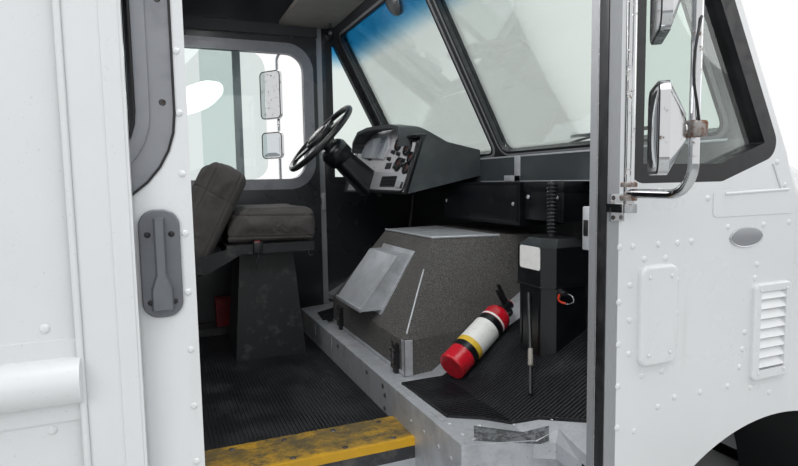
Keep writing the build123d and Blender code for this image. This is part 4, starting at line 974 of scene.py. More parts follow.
def gauge(place, radius, reading):
    """A round gauge: a stepped rim, marks round three quarters of the dial, and a needle."""
    rim = [(radius * share, z) for share, z in
           ((1, 0), (1, 0.009), (0.93, 0.012), (0.85, 0.010), (0.80, 0.003))]
    gauge_rims.append(placed(lathed(rim, sides=36), place))
    for number in range(9):
        turn = Matrix.Rotation(radians(225 - 33.75 * number), 4, "Z")
        mark = block((radius * 0.60, -0.0007, 0.0029), (radius * 0.76, 0.0007, 0.0036))
        gauge_marks.append(placed(soften(mark, 0.0002, 1), place @ turn))
    needle = block((-radius * 0.14, -0.0010, 0.0040), (radius * 0.62, 0.0010, 0.0048))
    gauge_needles.append(placed(soften(needle, 0.0003, 1), place @ Matrix.Rotation(radians(reading), 4, "Z")))


for number, (y, z, radius) in enumerate(gauge_spots):
    gauge(on_panel(y, z), radius, 200 - 25 * number)
cluster_middle = (0.620, 1.356)
for y, radius in ((0.690, 0.050), (0.560, 0.050), (0.625, 0.020)):
    gauge(on_panel(y, 1.352 if radius > 0.03 else 1.392), radius, 210)
keep(joined(gauge_rims), "gauge_rims", black_plastic)
mark_white = Finish("mark_white", (214, 214, 208), 0.5, slot="panel_silver")
mark_white.paint(mark_white.grain(300), (220, 220, 214), (190, 190, 184))
mark_white.give("Roughness", 0.4 + 0.2 * mark_white.grain(200))
keep(joined(gauge_marks), "gauge_marks", mark_white)
needle_red = Finish("needle_red", (206, 62, 34), 0.45, slot="kit_red")
needle_red.paint(needle_red.grain(300), (212, 64, 34), (188, 52, 30))
needle_red.give("Roughness", 0.4 + 0.2 * needle_red.grain(200))
keep(joined(gauge_needles), "gauge_needles", needle_red)

lens_plan = panel_plan(lens_outline, cluster_middle)
cluster_bed = placed(thickened(cut_sheet(lens_plan), 0.0022), on_panel(*cluster_middle))
keep(soften(cluster_bed, 0.0008, 1), "cluster_bed", black_plastic)
lens_rim = placed(cut_frame(lens_plan, 0.007, 0.0155), on_panel(*cluster_middle))
keep(soften(lens_rim, 0.0015), "cluster_rim", panel_silver)
lens = placed(thickened(cut_sheet(lens_plan), 0.0016),
              on_panel(*cluster_middle, 0.0158) @ Matrix.Diagonal((0.975, 0.955, 1, 1)))
# The lens is a pale bluish veil, whiter and more opaque in cloudy patches: a painted reflection.
lens_pale = Finish("cluster_lens", (196, 206, 216), 0.12, slot="clear_glass")
glare_patches = lens_pale.patches(0.3, 0.7, 7, 3, 0.5)
lens_pale.give("Alpha", 0.30 + 0.35 * glare_patches)
lens_pale.paint(glare_patches, (150, 166, 182), (226, 232, 238))
keep(lens, "cluster_lens", lens_pale)

fascia_outline = [(0.655, 1.250), (0.655, 1.158), (0.134, 1.154), (0.134, 1.226)]
fascia_middle = (0.395, 1.195)
fascia_thick = 0.005
fascia = thickened(cut_sheet(panel_plan(fascia_outline, fascia_middle)), fascia_thick)
fascia = placed(fascia, on_panel(*fascia_middle))
fascia_grey = Finish("fascia_grey", (96, 102, 104), 0.45, 0.1, slot="panel_silver")
fascia_grey.paint(fascia_grey.grain(30), (160, 162, 166), (182, 184, 188))
fascia_grey.give("Roughness", 0.36 + 0.2 * fascia_grey.grain(50))
fascia_grey.grained(0.0002, 420, 2, 0.5)
keep(soften(fascia, 0.002), "panel_fascia", fascia_grey)

edge_run = [on_panel(y, z, 0.001).to_translation() for y, z in
            ((0.330, 1.425), (0.325, 1.386), (0.300, 1.374), (0.150, 1.371), (0.131, 1.362), (0.130, 1.300),
             (0.131, 1.170), (0.140, 1.151), (0.200, 1.150), (0.640, 1.150))]
keep(tube(edge_run, 0.0055), "panel_edging", black_rubber)
sideways = Matrix(((1, 0, 0, 0), (0, 0, -1, 0), (0, 1, 0, 0), (0, 0, 0, 1)))
lip_profile = [(0.446, 1.392), (0.362, 1.150), (0.364, 1.140), (0.379, 1.140), (0.458, 1.368), (0.474, 1.390)]
roof_profile = [(0.420, 1.396), (0.422, 1.383), (0.474, 1.385), (0.474, 1.398)]
hood_bars = []
for profile, width, y in ((lip_profile, 0.013, 0.117), (roof_profile, 0.106, 0.2095)):
    bar = placed(thickened(cut_sheet(profile), width), Matrix.Translation((0, y, 0)) @ sideways)
    hood_bars.append(soften(bar, 0.004))
keep(joined(hood_bars), "gauge_hood", black_plastic)

outlet = on_panel(0.325, 1.193, fascia_thick)
outlet_parts = [placed(soften(cut_frame(rounded(0.182, 0.052, 0.006), 0.004, 0.004), 0.001), outlet),
                placed(thickened(cut_sheet(rounded(0.176, 0.046, 0.004)), 0.0006), outlet)]
for number in range(15):
    slat = block((-0.084 + 0.012 * number, -0.022, 0.0004), (-0.0815 + 0.012 * number, 0.022, 0.0035))
    outlet_parts.append(placed(soften(slat, 0.0005, 1), outlet))
for height in (-0.008, 0.008):
    cross_bar = block((-0.086, height - 0.0008, 0.0004), (0.086, height + 0.0008, 0.0042))
    outlet_parts.append(placed(cross_bar, outlet))
keep(joined(outlet_parts), "air_outlet", black_plastic)


def rocker(width, height):
    """A rocker switch: a key on a bezel, with its upper half pushed in."""
    bezel = soften(cut_frame(rounded(width + 0.006, height + 0.006, 0.003), 0.003, 0.003), 0.0008)
    key = block((-width / 2, -height / 2, 0), (width / 2, height / 2, 0.006))
    for corner in key.data.vertices:
        if corner.co.z > 0.003 and corner.co.y > 0:
            corner.co.z -= 0.003
    return joined([bezel, soften(key, 0.001)])


silver_rocker = placed(rocker(0.034, 0.026), on_panel(0.196, 1.178, fascia_thick))
keep(silver_rocker, "silver_rocker", plate_aluminium)
rocker_spots = [on_panel(0.155, 1.176, fascia_thick)]
rocker_spots += [on_panel(y, 1.268) for y in (0.420, 0.396, 0.372, 0.324)]
dark_rockers = [placed(rocker(0.014, 0.024), place) for place in rocker_spots]
keep(joined(dark_rockers), "dark_rockers", black_plastic)
knob = [(0.011, 0), (0.011, 0.004), (0.009, 0.006), (0.009, 0.016), (0.007, 0.018)]
knobs = [placed(lathed(knob, sides=20), on_panel(y, z)) for y, z in
         ((0.372, 1.330), (0.300, 1.318), (0.400, 1.300), (0.218, 1.286), (0.207, 1.262))]
keep(joined(knobs), "panel_knobs", black_plastic)
panel_screws = [on_panel(y, z).to_translation() for y, z in
                ((0.145, 1.345), (0.145, 1.215), (0.400, 1.385), (0.740, 1.275), (0.590, 1.268))]
keep(studs(panel_screws, panel_out, 0.004, 0.0015), "panel_screws", bolt_steel)

# Steering wheel: a moulded rim and spokes with a soft horn pad, on a column in a plastic shroud.
# A stalk each side works the signals and the wipers.
steer_centre = Vector((0.142, 0.620, 1.412))
column_dir = Vector((0.731, 0, -0.682)).normalized()

wheel_rubber = Finish("wheel_rubber", (28, 28, 30), 0.42)
wheel_rubber.mottle(wheel_rubber.patches(0.45, 0.75, 16, 5, 0.6), (24, 24, 26), (44, 44, 46), 0.34, 0.2)
wheel_rubber.grained(0.0002, 500, 2, 0.5)
dress(wheel_rubber, "steering_wheel")
horn_steps = [(0.062, 0), (0.062, 0.003), (0.056, 0.007), (0.030, 0.010), (0.010, 0.0105)]
horn_pad = lathed(horn_steps, steer_centre - column_dir * 0.0245, -column_dir, 40, 60)
keep(horn_pad, "horn_pad", wheel_rubber, "steering")
collar_steps = [(0.056, 0), (0.070, 0.012), (0.074, 0.070), (0.064, 0.092), (0.050, 0.100)]
collar = lathed(collar_steps, steer_centre + column_dir * 0.158, -column_dir, 36, 50)
stalk_root = steer_centre + column_dir * 0.100
stalks = [tube([stalk_root + Vector(reach) for reach in run], radius) for run, radius in (
    (((0, 0.030, 0), (-0.015, 0.110, 0.020), (-0.030, 0.180, 0.035)), 0.007),
    (((0, -0.030, 0), (-0.010, -0.090, 0.000), (-0.025, -0.135, -0.010)), 0.006),
)]
keep(joined([collar, *stalks]), "column_stalks", black_plastic)
shroud_screws = [steer_centre + column_dir * reach + Vector((0, side * 0.047, 0)) for reach in (0.10, 0.16)
                 for side in (-1, 1)]
keep(studs(shroud_screws, facing_right, 0.004, 0.0015), "shroud_screws", bolt_steel)

# Engine cover: a steel box over the engine, wrapped in grey-brown carpet that is bound at its edges.
# Draw latches hold it down, and a folded sheet-metal box is riveted to its sloping rear face.
carpet = Finish("carpet", (72, 70, 67), 0.95)
pile = carpet.grain(230, 6, 0.85)
tuft = carpet.node("ShaderNodeTexVoronoi", {}, {"Vector": carpet.place, "Scale": 170.0})
patch = carpet.patches(0.38, 0.7, 7, 6, 0.7)
fleck = carpet.patches(0.56, 0.66, 520, 2, 0.6)
yarn = carpet.tint(carpet.rising(pile, 0.36, 0.66), (42, 41, 41), (116, 114, 111))
yarn = carpet.tint(fleck * 0.5, yarn, (150, 148, 145))
carpet.paint(patch * 0.45, yarn, (76, 74, 73))
carpet.relief(tuft + pile, 0.0028)
dress(carpet, "engine_cover")

binding = tube([(0.362, 0.325, 0.974), (0.363, 0.085, 0.976), (0.362, -0.150, 0.976), (0.372, -0.162, 0.976),
                (0.560, -0.190, 0.976), (0.640, -0.203, 0.976)], 0.0050)
rear_edge = tube([(0.170, -0.3456, 0.665), (0.230, -0.2878, 0.763), (0.296, -0.2245, 0.866)], 0.0030)
top_plate = thickened(cut_sheet([(0.366, -0.154), (0.640, -0.200), (0.640, 0.362), (0.366, 0.322)]), 0.0015)
top_plate = placed(top_plate, Matrix.Translation((0, 0, 0.9752)))
foot_corner = soften(joined([block((0.1535, -0.3620, 0.517), (0.1555, -0.335, 0.645)),
                             block((0.1535, -0.3620, 0.517), (0.185, -0.3585, 0.645))]), 0.0006, 1)
foot_strip = soften(block((0.1515, -0.358, 0.517), (0.1548, 0.518, 0.531)), 0.001)
keep(joined([binding, rear_edge, top_plate, foot_corner, foot_strip]), "cover_binding", plate_aluminium)

rear_slope = (0.365 - 0.155) / (0.975 - 0.640)
rear_out = Vector((-1, 0, rear_slope)).normalized()
box_middle = Vector((0.155 + 0.155 * rear_slope, 0.095, 0.795))
flange = placed(cut_frame(rounded(0.352, 0.286, 0.004), 0.021, 0.0016), stood(box_middle, rear_out))
lid_slope = Vector((0.258 - 0.0963, 0, 0.210)).normalized()
lid_out = Vector((-lid_slope.z, 0, lid_slope.x))
lid_middle = Vector(((0.258 + 0.0963) / 2, 0.095, 0.795))
lid = placed(thickened(cut_sheet(rounded(0.318, 0.262, 0.003)), 0.0018), stood(lid_middle, lid_out))
lid_lip = soften(block((0.0930, -0.066, 0.688), (0.0975, 0.256, 0.704)), 0.0008)
keep(soften(joined([flange, lid]), 0.0005, 1), "box_lid", plate_aluminium)
keep(lid_lip, "box_lip", plate_aluminium)
across_box = stood(box_middle + rear_out * 0.0016, rear_out)
flange_spots = [across_box @ Vector((x, y, 0)) for x in (-0.166, 0.166) for y in (-0.11, 0, 0.11)]
keep(studs(flange_spots, rear_out, 0.0045, 0.002), "box_rivets", plate_aluminium)

latch_parts = []
for y in (-0.300, 0.370):
    latch_parts += [
        soften(block((0.128, y - 0.009, 0.536), (0.139, y + 0.009, 0.606)), 0.002),
        tube([(0.133, y - 0.017, 0.600), (0.133, y + 0.017, 0.600)], 0.0055),
        tube([(0.134, y - 0.015, 0.545), (0.126, y, 0.538), (0.134, y + 0.015, 0.545)], 0.003),
        soften(block((0.134, y - 0.014, 0.612), (0.1395, y + 0.014, 0.634)), 0.001),
    ]
keep(joined(latch_parts), "latch_hardware", bolt_steel)

# Electrical boxes: two black steel boxes hung under the shelf, with pressed doors and turned catches.
# A corrugated hose comes down from the smaller box, in soft black rubber.
box_door = thickened(cut_sheet(rounded(0.600, 0.140, 0.008)), 0.003)
box_door = placed(box_door, stood((0.650, -0.015, 1.102), facing_back))
keep(soften(box_door, 0.0012), "electrical_door", black_plastic)
side_box = soften(block((0.662, -0.568, 1.046), (0.850, -0.345, 1.184)), 0.003)
side_box_lid = soften(block((0.658, -0.572, 1.150), (0.850, -0.341, 1.184)), 0.002)
keep(joined([side_box, side_box_lid]), "relay_box", black_plastic)
catch = [(0.008, 0), (0.008, 0.002), (0.006, 0.004)]
catches = [lathed(catch, (0.6475, y, 1.102), facing_back, 16) for y in (-0.290, 0.262)]
catches += [lathed(catch, (0.6585, y, 1.130), facing_back, 16) for y in (-0.540, -0.372)]
keep(joined(catches), "box_catches", plate_aluminium)
hose_start = Vector((0.600, -0.585, 1.186))
hose_way = Vector((0.575, -0.620, 1.008)) - hose_start
hose_rings = 30
hose_steps = [(0.014, 0)]
for number in range(1, hose_rings):
    hose_steps.append((0.014 if number % 2 else 0.018, hose_way.length * number / hose_rings))
hose_steps.append((0.014, hose_way.length))
keep(lathed(hose_steps, hose_start, hose_way, 18, 60), "corrugated_hose", black_rubber)

# Lubricator box: black moulded plastic with a lid, a bare white label, and a fitting on its side.
# A thin strut holds it off the toe-board.
label_white = Finish("label_white", (224, 224, 220), 0.45, slot="white_paint")
smudge = label_white.patches(0.5, 0.72, 40, 6, 0.7)
label_white.paint(smudge * 0.4, (226, 226, 223), (178, 176, 170))
label_white.give("Roughness", 0.35 + 0.25 * smudge)
label = thickened(cut_sheet(rounded(0.108, 0.073, 0.009)), 0.0006)
label = placed(label, stood((0.475, -0.640, 0.948), facing_back))
keep(label, "lubricator_label", label_white)
lid_plan = [(-0.050, -0.095), (0.078, -0.095), (0.078, 0.095), (-0.050, 0.095), (-0.084, 0.061),
            (-0.084, -0.061)]
lid_band = placed(cut_frame(lid_plan, 0.006, 0.005), Matrix.Translation((0.5535, -0.635, 0.857)))
keep(soften(lid_band, 0.0015), "lid_band", black_rubber)
body_ribs = [soften(block((0.4775, y - 0.004, 0.655), (0.4800, y + 0.004, 0.845)), 0.0010) for y in
             (-0.590, -0.635, -0.680)]
keep(joined(body_ribs), "lubricator_ribs", black_plastic)
strut_bend = Vector((0.420, -0.722, 0.690))
strut_foot = Vector((0.356, -0.812, 0.577))
strut = tube([(0.478, -0.630, 0.830), (0.440, -0.690, 0.730), strut_bend, strut_foot], 0.0065)
side_pipe = lathed([(0.012, 0), (0.012, 0.010), (0.008, 0.012), (0.008, 0.030)], (0.525, -0.726, 0.845),
                   facing_right, 20)
keep(joined([strut, side_pipe]), "lubricator_strut", black_rubber)
wrap_way = strut_foot - strut_bend
wrap = lathed([(0.0072, 0), (0.0078, 0.004), (0.0078, 0.052), (0.0072, 0.056)], strut_bend + wrap_way * 0.08,
              wrap_way, 18)
keep(wrap, "strut_wrap", header_beige)
ring = hooped(0.020, 0.0022, 8)
with editing(ring):
    bpy.ops.transform.resize(value=(1.25, 0.8, 1))
keep(placed(ring, stood((0.530, -0.752, 0.829), (-1, -0.35, 0))), "pull_ring", badge_chrome)
half_loop = tube([(0.515, -0.738, 0.842), (0.512, -0.733, 0.828), (0.520, -0.738, 0.816),
                  (0.532, -0.748, 0.813)], 0.0036)
keep(half_loop, "loop_sleeve", needle_red)

# Extinguisher: a red steel bottle with a label sleeve, a valve with its levers, and a short hose.
# It lies loose on the toe-board mat.
bottle_foot = Vector((0.2628, -0.5000, 0.5768))
bottle_way = Vector((0.8373, 0.3173, 0.4452)).normalized()
bottle_length = 0.310

extinguisher_red = Finish("extinguisher_red", (186, 26, 40), 0.3, 0.0, 0.4)
dulled = extinguisher_red.patches(0.45, 0.8, 18, 5, 0.6)
extinguisher_red.mottle(dulled, (196, 26, 42), (160, 26, 38), 0.22, 0.2)
extinguisher_red.grained(0.0003, 60)
dress(extinguisher_red, "extinguisher")
label_yellow = Finish("label_yellow", (222, 186, 60), 0.45, slot="nosing_yellow")
label_yellow.paint(label_yellow.grain(60), (226, 190, 62), (196, 160, 50))
label_yellow.give("Roughness", 0.35 + 0.2 * label_yellow.grain(80))


def sleeve(start, length, radius=0.0504):
    """A band round the bottle, from a distance along it."""
    return lathed([(radius, 0), (radius, length)], bottle_foot + bottle_way * start, bottle_way, 48)


keep(joined([sleeve(0.112, 0.100), sleeve(0.242, 0.008)]), "label_body", label_white)
keep(joined([sleeve(0.064, 0.026), sleeve(0.212, 0.028)]), "label_bars", black_plastic)
keep(sleeve(0.090, 0.022), "label_band", label_yellow)
bottle_head = bottle_foot + bottle_way * bottle_length
lever_up = Vector((-0.4452, 0, 0.8373)).normalized()
valve_frame = Matrix.Translation(bottle_head + bottle_way * 0.040) @ Matrix((
    bottle_way.cross(lever_up).normalized(), lever_up, -bottle_way)).transposed().to_4x4()
valve = lathed([(0.0215, 0), (0.0215, 0.016), (0.0195, 0.020), (0.0195, 0.050), (0.010, 0.056)],
               bottle_head + bottle_way * 0.002, bottle_way, 24)
levers = [placed(soften(block((-0.008, 0.004, -0.008), (0.008, 0.092, -0.003)), 0.0015), valve_frame),
          placed(soften(block((-0.008, 0.000, 0.010), (0.008, 0.080, 0.014)), 0.0015), valve_frame)]
hose = tube([
    bottle_head + bottle_way * 0.030,
    bottle_head + bottle_way * 0.045 - lever_up * 0.020 + Vector((0, -0.03, 0)),
    bottle_head + Vector((-0.030, -0.058, -0.010)),
    bottle_head + Vector((-0.110, -0.084, -0.050)),
], 0.0065)
keep(joined([valve, *levers, hose]), "bottle_valve", black_plastic)

# Seat: a steel pedestal and pan with side arms, and foam pads covered in dark brown-grey cloth.
# The pads are sewn with a welt along their edges and across the backrest, and a belt buckle stands beside.
seat_y = 0.620
back_origin = Vector((-0.470, seat_y, 0.850))
back_lean = radians(27)
seam_depth = 0.0035
seam_half = 0.006

frame_black = Finish("frame_black", (34, 36, 38), 0.5, 0.2)
frame_black.mottle(frame_black.patches(0.52, 0.7, 20, 6, 0.65), (30, 32, 34), (70, 70, 70), 0.42, 0.25)
frame_black.grained(0.0003, 200)
dress(frame_black, "seat_pedestal", "seat_frame")

seat_fabric = Finish("seat_fabric", (78, 72, 72), 0.95)
weave = seat_fabric.node("ShaderNodeTexVoronoi", {}, {"Vector": seat_fabric.place, "Scale": 420.0})
nap = seat_fabric.patches(0.35, 0.75, 9, 6, 0.65)
cloth = seat_fabric.tint(nap, (52, 49, 50), (80, 76, 75))
seat_fabric.paint(seat_fabric.grain(260, 3, 0.7), cloth, (92, 88, 86))
seat_fabric.give("Roughness", 0.95 - 0.1 * nap)
seat_fabric.relief(weave + 0.6 * seat_fabric.grain(180, 5, 0.7), 0.0012)
dress(seat_fabric, "seat_cushion", "seat_back")


def stuffed(made, voxel, cap):
    """Swells a remeshed pad as cloth filled from within, no point further than the cap."""
    alone(made)
    skin = made.modifiers.new("skin", "REMESH")
    skin.mode = "VOXEL"
    skin.voxel_size = voxel
    bpy.ops.object.modifier_apply(modifier=skin.name)
    start = [corner.co.copy() for corner in made.data.vertices]
    filling = made.modifiers.new("filling", "CLOTH")
    filling.settings.use_pressure = True
    filling.settings.uniform_pressure_force = 4
    filling.settings.effector_weights.gravity = 0
    for number in range(1, 21):
        bpy.context.scene.frame_set(number)
    bpy.ops.object.modifier_apply(modifier=filling.name)
    bpy.context.scene.frame_set(1)
    for corner, before in zip(made.data.vertices, start):
        moved = corner.co - before
        if moved.length > cap:
            corner.co = before + moved * (cap / moved.length)
    finer = made.modifiers.new("finer", "SUBSURF")
    finer.levels = 1
    finer.render_levels = 1
    bpy.ops.object.modifier_apply(modifier=finer.name)
    bpy.ops.object.shade_smooth()
    return made


def sewn(made, place, face, depth=seam_depth):
    """Pulls a seam in along a plane, with the cloth rounding into it from both sides."""
    face = Vector(face).normalized()
    for corner in made.data.vertices:
        away = abs((corner.co - Vector(place)).dot(face)) / seam_half
        if away < 1:
            corner.co -= corner.normal * depth * (1 - away * away) ** 2
    made.data.update()


cushion = block((-0.368, 0.379, 0.9365), (0.049, 0.861, 1.081))
for corner in cushion.data.vertices:
    if corner.co.x < -0.2 and corner.co.z > 1.0:
        corner.co.x += 0.083
    if corner.co.x < -0.2 and corner.co.z < 1.0:
        corner.co.x += 0.014
cushion = stuffed(soften(cushion, 0.026, 4), 0.006, 0.010)
for height in (0.958, 1.050):
    sewn(cushion, (0, 0, height), (0.03, 0, 1))
sewn(cushion, (-0.100, seat_y, 1.0), (0, 1, 0), 0.002)
for corner in cushion.data.vertices:
    corner.co.z = max(corner.co.z, 0.9355)
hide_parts("seat_cushion")
keep(cushion, "seat_pad", seat_fabric)

lean_frame = Matrix((
    (0, sin(back_lean), cos(back_lean)),
    (1, 0, 0),
    (0, cos(back_lean), -sin(back_lean)),
)).to_4x4()
back = block((-0.241, -0.064, -0.129), (0.241, 0.450, 0.034))
for corner in back.data.vertices:
    if corner.co.y > 0.2:
        corner.co.x *= 0.96
back = stuffed(soften(back, 0.032, 4), 0.007, 0.009)
sewn(back, (0, 0, 0.004), (0, 0, 1))
sewn(back, (0, 0, -0.100), (0, 0, 1))
sewn(back, (0, 0.300, 0), (0, 1, 0.1), 0.0025)
back = placed(back, Matrix.Translation(back_origin) @ lean_frame)
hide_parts("seat_back")
keep(back, "back_pad", seat_fabric, "seat_backrest")
pin = lathed([(0.008, 0), (0.008, 0.516)], (-0.470, 0.362, 0.850), (0, 1, 0), 20)
keep(pin, "back_pin", frame_black, "seat_backrest")

strap = tube([(-0.215, 0.366, 0.905), (-0.222, 0.360, 0.870), (-0.232, 0.361, 0.836)], 0.006)
buckle = soften(block((-0.240, 0.349, 0.895), (-0.200, 0.361, 0.946)), 0.003)
keep(joined([strap, buckle]), "belt_buckle", black_plastic)
kit_red = Finish("kit_red", (120, 34, 36), 0.5)
kit_red.mottle(kit_red.patches(0.4, 0.75, 14, 5, 0.6), (132, 30, 34), (96, 34, 34), 0.4, 0.2)
kit_red.grained(0.0003, 240)
keep(soften(block((-0.236, 0.350, 0.944), (-0.210, 0.360, 0.950)), 0.0015), "buckle_button", kit_red)
lever_run = [(0.000, 0.369, 0.898), (0.003, 0.368, 0.872), (0.018, 0.366, 0.872), (0.025, 0.372, 0.874)]
lever = tube(lever_run, 0.006)
keep(lever, "slide_lever", black_plastic)

# Kit boxes: red steel boxes on the ledge beside the left door, with a lid seam and catches.
# A bail of bare wire stands over the lid to carry them by.
dress(kit_red, "kit_box")
lid_line = soften(cut_frame(rounded(0.424, 0.099, 0.004), 0.006, 0.006), 0.001)
kit_parts = [placed(lid_line, Matrix.Translation((-0.140, 1.0405, 0.548)))]
for x in (-0.270, -0.010):
    kit_parts.append(soften(block((x - 0.016, 0.9885, 0.528), (x + 0.016, 0.9935, 0.572)), 0.002))
bail_run = [(-0.200, 0.5845), (-0.190, 0.606), (-0.090, 0.606), (-0.080, 0.5845)]
bail = tube([(x, 1.040, z) for x, z in bail_run], 0.004)
keep(joined(kit_parts), "kit_trim", kit_red)
keep(bail, "kit_bail", bolt_steel)

# Nose and hood: one moulding in white gel coat, with a black grille, round lamps and a bumper.
# The headlamps sit in bright rings, and the turn signals and marker lamps are amber.
white_moulding = Finish("white_moulding", (226, 227, 226), 0.3, 0.0, 0.4)
cloud = white_moulding.patches(0.4, 0.75, 2, 5, 0.6)
white_moulding.mottle(cloud, (222, 224, 225), (209, 210, 209), 0.24, 0.2)
white_moulding.grained(0.001, 5, 3, 0.5)
dress(white_moulding, "nose", "hood_lid")

bumper_black = Finish("bumper_black", (32, 33, 35), 0.5, 0.3)
scraped = bumper_black.patches(0.56, 0.66, 14, 8, 0.7, (1, 0.3, 1))
bumper_black.mottle(scraped, (28, 29, 31), (96, 92, 88), 0.4, 0.25)
bumper_black.grained(0.0004, 120)
dress(bumper_black, "bumper")
bumper_heads = [(1.6395, side * y, z) for side in (-1, 1) for y in (0.36, 0.44) for z in (0.075, 0.155)]
keep(studs(bumper_heads, (1, 0, 0), 0.011, 0.0035, 6), "bumper_bolts", bolt_steel)



def fluted(finish, scale, first, second, depth):
    """Runs upright flutes over a lens."""
    flutes = finish.node("ShaderNodeTexWave", {"bands_direction": "Y"},
                         {"Vector": finish.place, "Scale": scale})
    finish.paint(flutes, first, second)
    finish.relief(flutes, depth)


lamp_lens = Finish("lamp_lens", (214, 218, 222), 0.12, 0.2)
fluted(lamp_lens, 24, (176, 182, 188), (228, 232, 236), 0.001)
dress(lamp_lens, "headlamps")
lamp_ring = lathed([(0.100, 0), (0.100, 0.006), (0.095, 0.012), (0.089, 0.009), (0.088, 0.004)], sides=48)
lamp_rings = [another(lamp_ring, stood((1.5602, side * 0.690, 0.640), (1, 0, 0))) for side in (-1, 1)]
bpy.data.objects.remove(lamp_ring)
keep(joined(lamp_rings), "headlamp_rings", badge_chrome)

amber_lens = Finish("amber_lens", (226, 122, 22), 0.18)
fluted(amber_lens, 40, (206, 96, 12), (240, 146, 40), 0.0008)
dress(amber_lens, "amber_lamps")

# Mirrors: a bright tube loop each side, rusting through at the clamps, with a flat and a convex glass.
# The heads' backs are polished, their glass sits in a dark rubber, and a heater cable joins the right pair.
loop_pivot = (0.287, 1.245)
loop_x = 0.268
glass_x = 0.202
mirror_sets = [("right", -1, 0.170, 0, 40, 1.5845, 1.281), ("left", 1, 0.2505, 45, 36, 1.7215, 1.422)]

chrome_tube = Finish("chrome_tube", (196, 198, 200), 0.16, 1.0)
pitted = chrome_tube.patches(0.58, 0.66, 46, 9, 0.75)
bright = chrome_tube.tint(pitted, (205, 207, 209), (110, 84, 62))
chrome_tube.give("Base Color", bright)
chrome_tube.give("Roughness", 0.12 + 0.55 * pitted)
chrome_tube.give("Metallic", 1.0 - 0.7 * pitted)
chrome_tube.relief(pitted, 0.0005)
dress(chrome_tube, "mirror_arm_left", "mirror_arm_right", "mirror_brackets", "mirror_heads_left",
      "mirror_heads_right")

rusted = Finish("rusted_clamp", (120, 100, 84), 0.5, 0.7, slot="chrome_tube")
bloomed = rusted.patches(0.42, 0.6, 70, 8, 0.75)
rusted.mottle(bloomed, (150, 148, 146), (112, 72, 46), 0.3, 0.5)
rusted.give("Metallic", 0.9 - 0.7 * bloomed)
rusted.relief(bloomed, 0.0006)
mirror_glass = Finish("mirror_glass", (206, 212, 216), 0.03, 1.0, slot="chrome_tube")
mirror_glass.give("Roughness", 0.02 + 0.05 * mirror_glass.patches(0.55, 0.8, 30, 6, 0.7))


def swung(degrees, x, y):
    """A turn about an upright line."""
    turn = Matrix.Rotation(radians(-degrees), 4, "Z")
    return Matrix.Translation((x, y, 0)) @ turn @ Matrix.Translation((-x, -y, 0))


for word, side, out, swing, glance, flat_z, convex_z in mirror_sets:
    head_y = -loop_pivot[1] - out
    loop_turn = swung(swing, loop_pivot[0], -loop_pivot[1])
    turn = loop_turn @ swung(glance - swing, loop_x, head_y)
    rubbers = []
    panes = []
    for middle, height in ((flat_z, 0.285), (convex_z, 0.160)):
        frame_here = turn @ stood((glass_x + 0.001, head_y, middle), facing_back)
        rubber = soften(cut_frame(rounded(0.161, height - 0.004, 0.028, 8), 0.005, 0.003), 0.001)
        rubbers.append(placed(rubber, frame_here))
        pane = cut_sheet(rounded(0.151, height - 0.014, 0.023, 8))
        if height < 0.2:
            with editing(pane):
                for share, rise in ((0.85, 0.0016), (0.80, 0.0013), (0.7, 0.0009), (0.5, 0.0005)):
                    bpy.ops.mesh.extrude_region_move(TRANSFORM_OT_translate={"value": (0, 0, rise)})
                    bpy.ops.transform.resize(value=(share, share, 1))
        else:
            pane = thickened(pane, 0.0006)
        pane = placed(pane, frame_here)
        alone(pane)
        bpy.ops.object.shade_smooth_by_angle(angle=radians(60))
        panes.append(pane)
    clamps = []
    for middle in (flat_z, convex_z):
        clamp = soften(block((-0.017, -0.017, -0.015), (0.017, 0.017, 0.015)), 0.006, 3)
        clamps.append(placed(clamp, loop_turn @ Matrix.Translation((loop_x, head_y, middle))))
        nut_place = (loop_x + 0.004, head_y, middle + 0.014)
        nut = lathed([(0.007, 0), (0.007, 0.008)], sides=6)
        clamps.append(placed(nut, loop_turn @ Matrix.Translation(nut_place)))
    group = [("mirror_rubber", joined(rubbers), black_rubber), ("mirror_panes", joined(panes), mirror_glass),
             ("mirror_clamps", joined(clamps), rusted)]
    for name, made, finish in group:
        if side > 0:
            alone(made)
            twin = other_side(made)
            bpy.data.objects.remove(made)
            made = twin
        keep(made, name + "_" + word, finish, "mirror_" + word)

ring_steps = [(0.0165, 0), (0.0165, 0.008), (0.0135, 0.010)]
pivot_rings = [lathed(ring_steps, (loop_pivot[0], -loop_pivot[1], z), sides=28)
               for z in (1.150, 1.178, 1.972, 1.998)]
both_sides(joined(pivot_rings), "pivot_rings", rusted)
plate_bolts = [Vector((x, -1.206, z)) for x in (0.283, 0.305) for z in (1.113, 1.155, 1.995, 2.037)]
both_sides(studs(plate_bolts, facing_right, 0.0055, 0.003, 6), "bracket_bolts", bolt_steel)

# Heater cable: a thin black wire from the right flat head down to the convex one.
# It is held at both heads and hangs loose between them.
cable_places = [(0.262, -1.428, 1.470), (0.235, -1.440, 1.420), (0.232, -1.440, 1.360),
                (0.250, -1.436, 1.315), (0.266, -1.426, 1.290)]
cable = drawn_line("heater_cable", cable_places, 0.0025, 12)
cable.data.materials.append(black_rubber.material)
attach(cable, "mirror_right")

# Studio: a plain pale floor, soft lamps overhead and to the open side, and a white surround.
# One lamp inside stands for the daylight that comes in through the windscreen and the far door.
fresh()
bpy.ops.mesh.primitive_plane_add(size=60, location=(0, 0, 0))
ground = bpy.context.object
ground.name = "studio_floor"
paper = Finish("studio_paper", (205, 205, 203), 0.9)
paper.paint(paper.grain(2, 3, 0.5), (200, 200, 199), (207, 207, 205))
ground.data.materials.append(paper.material)


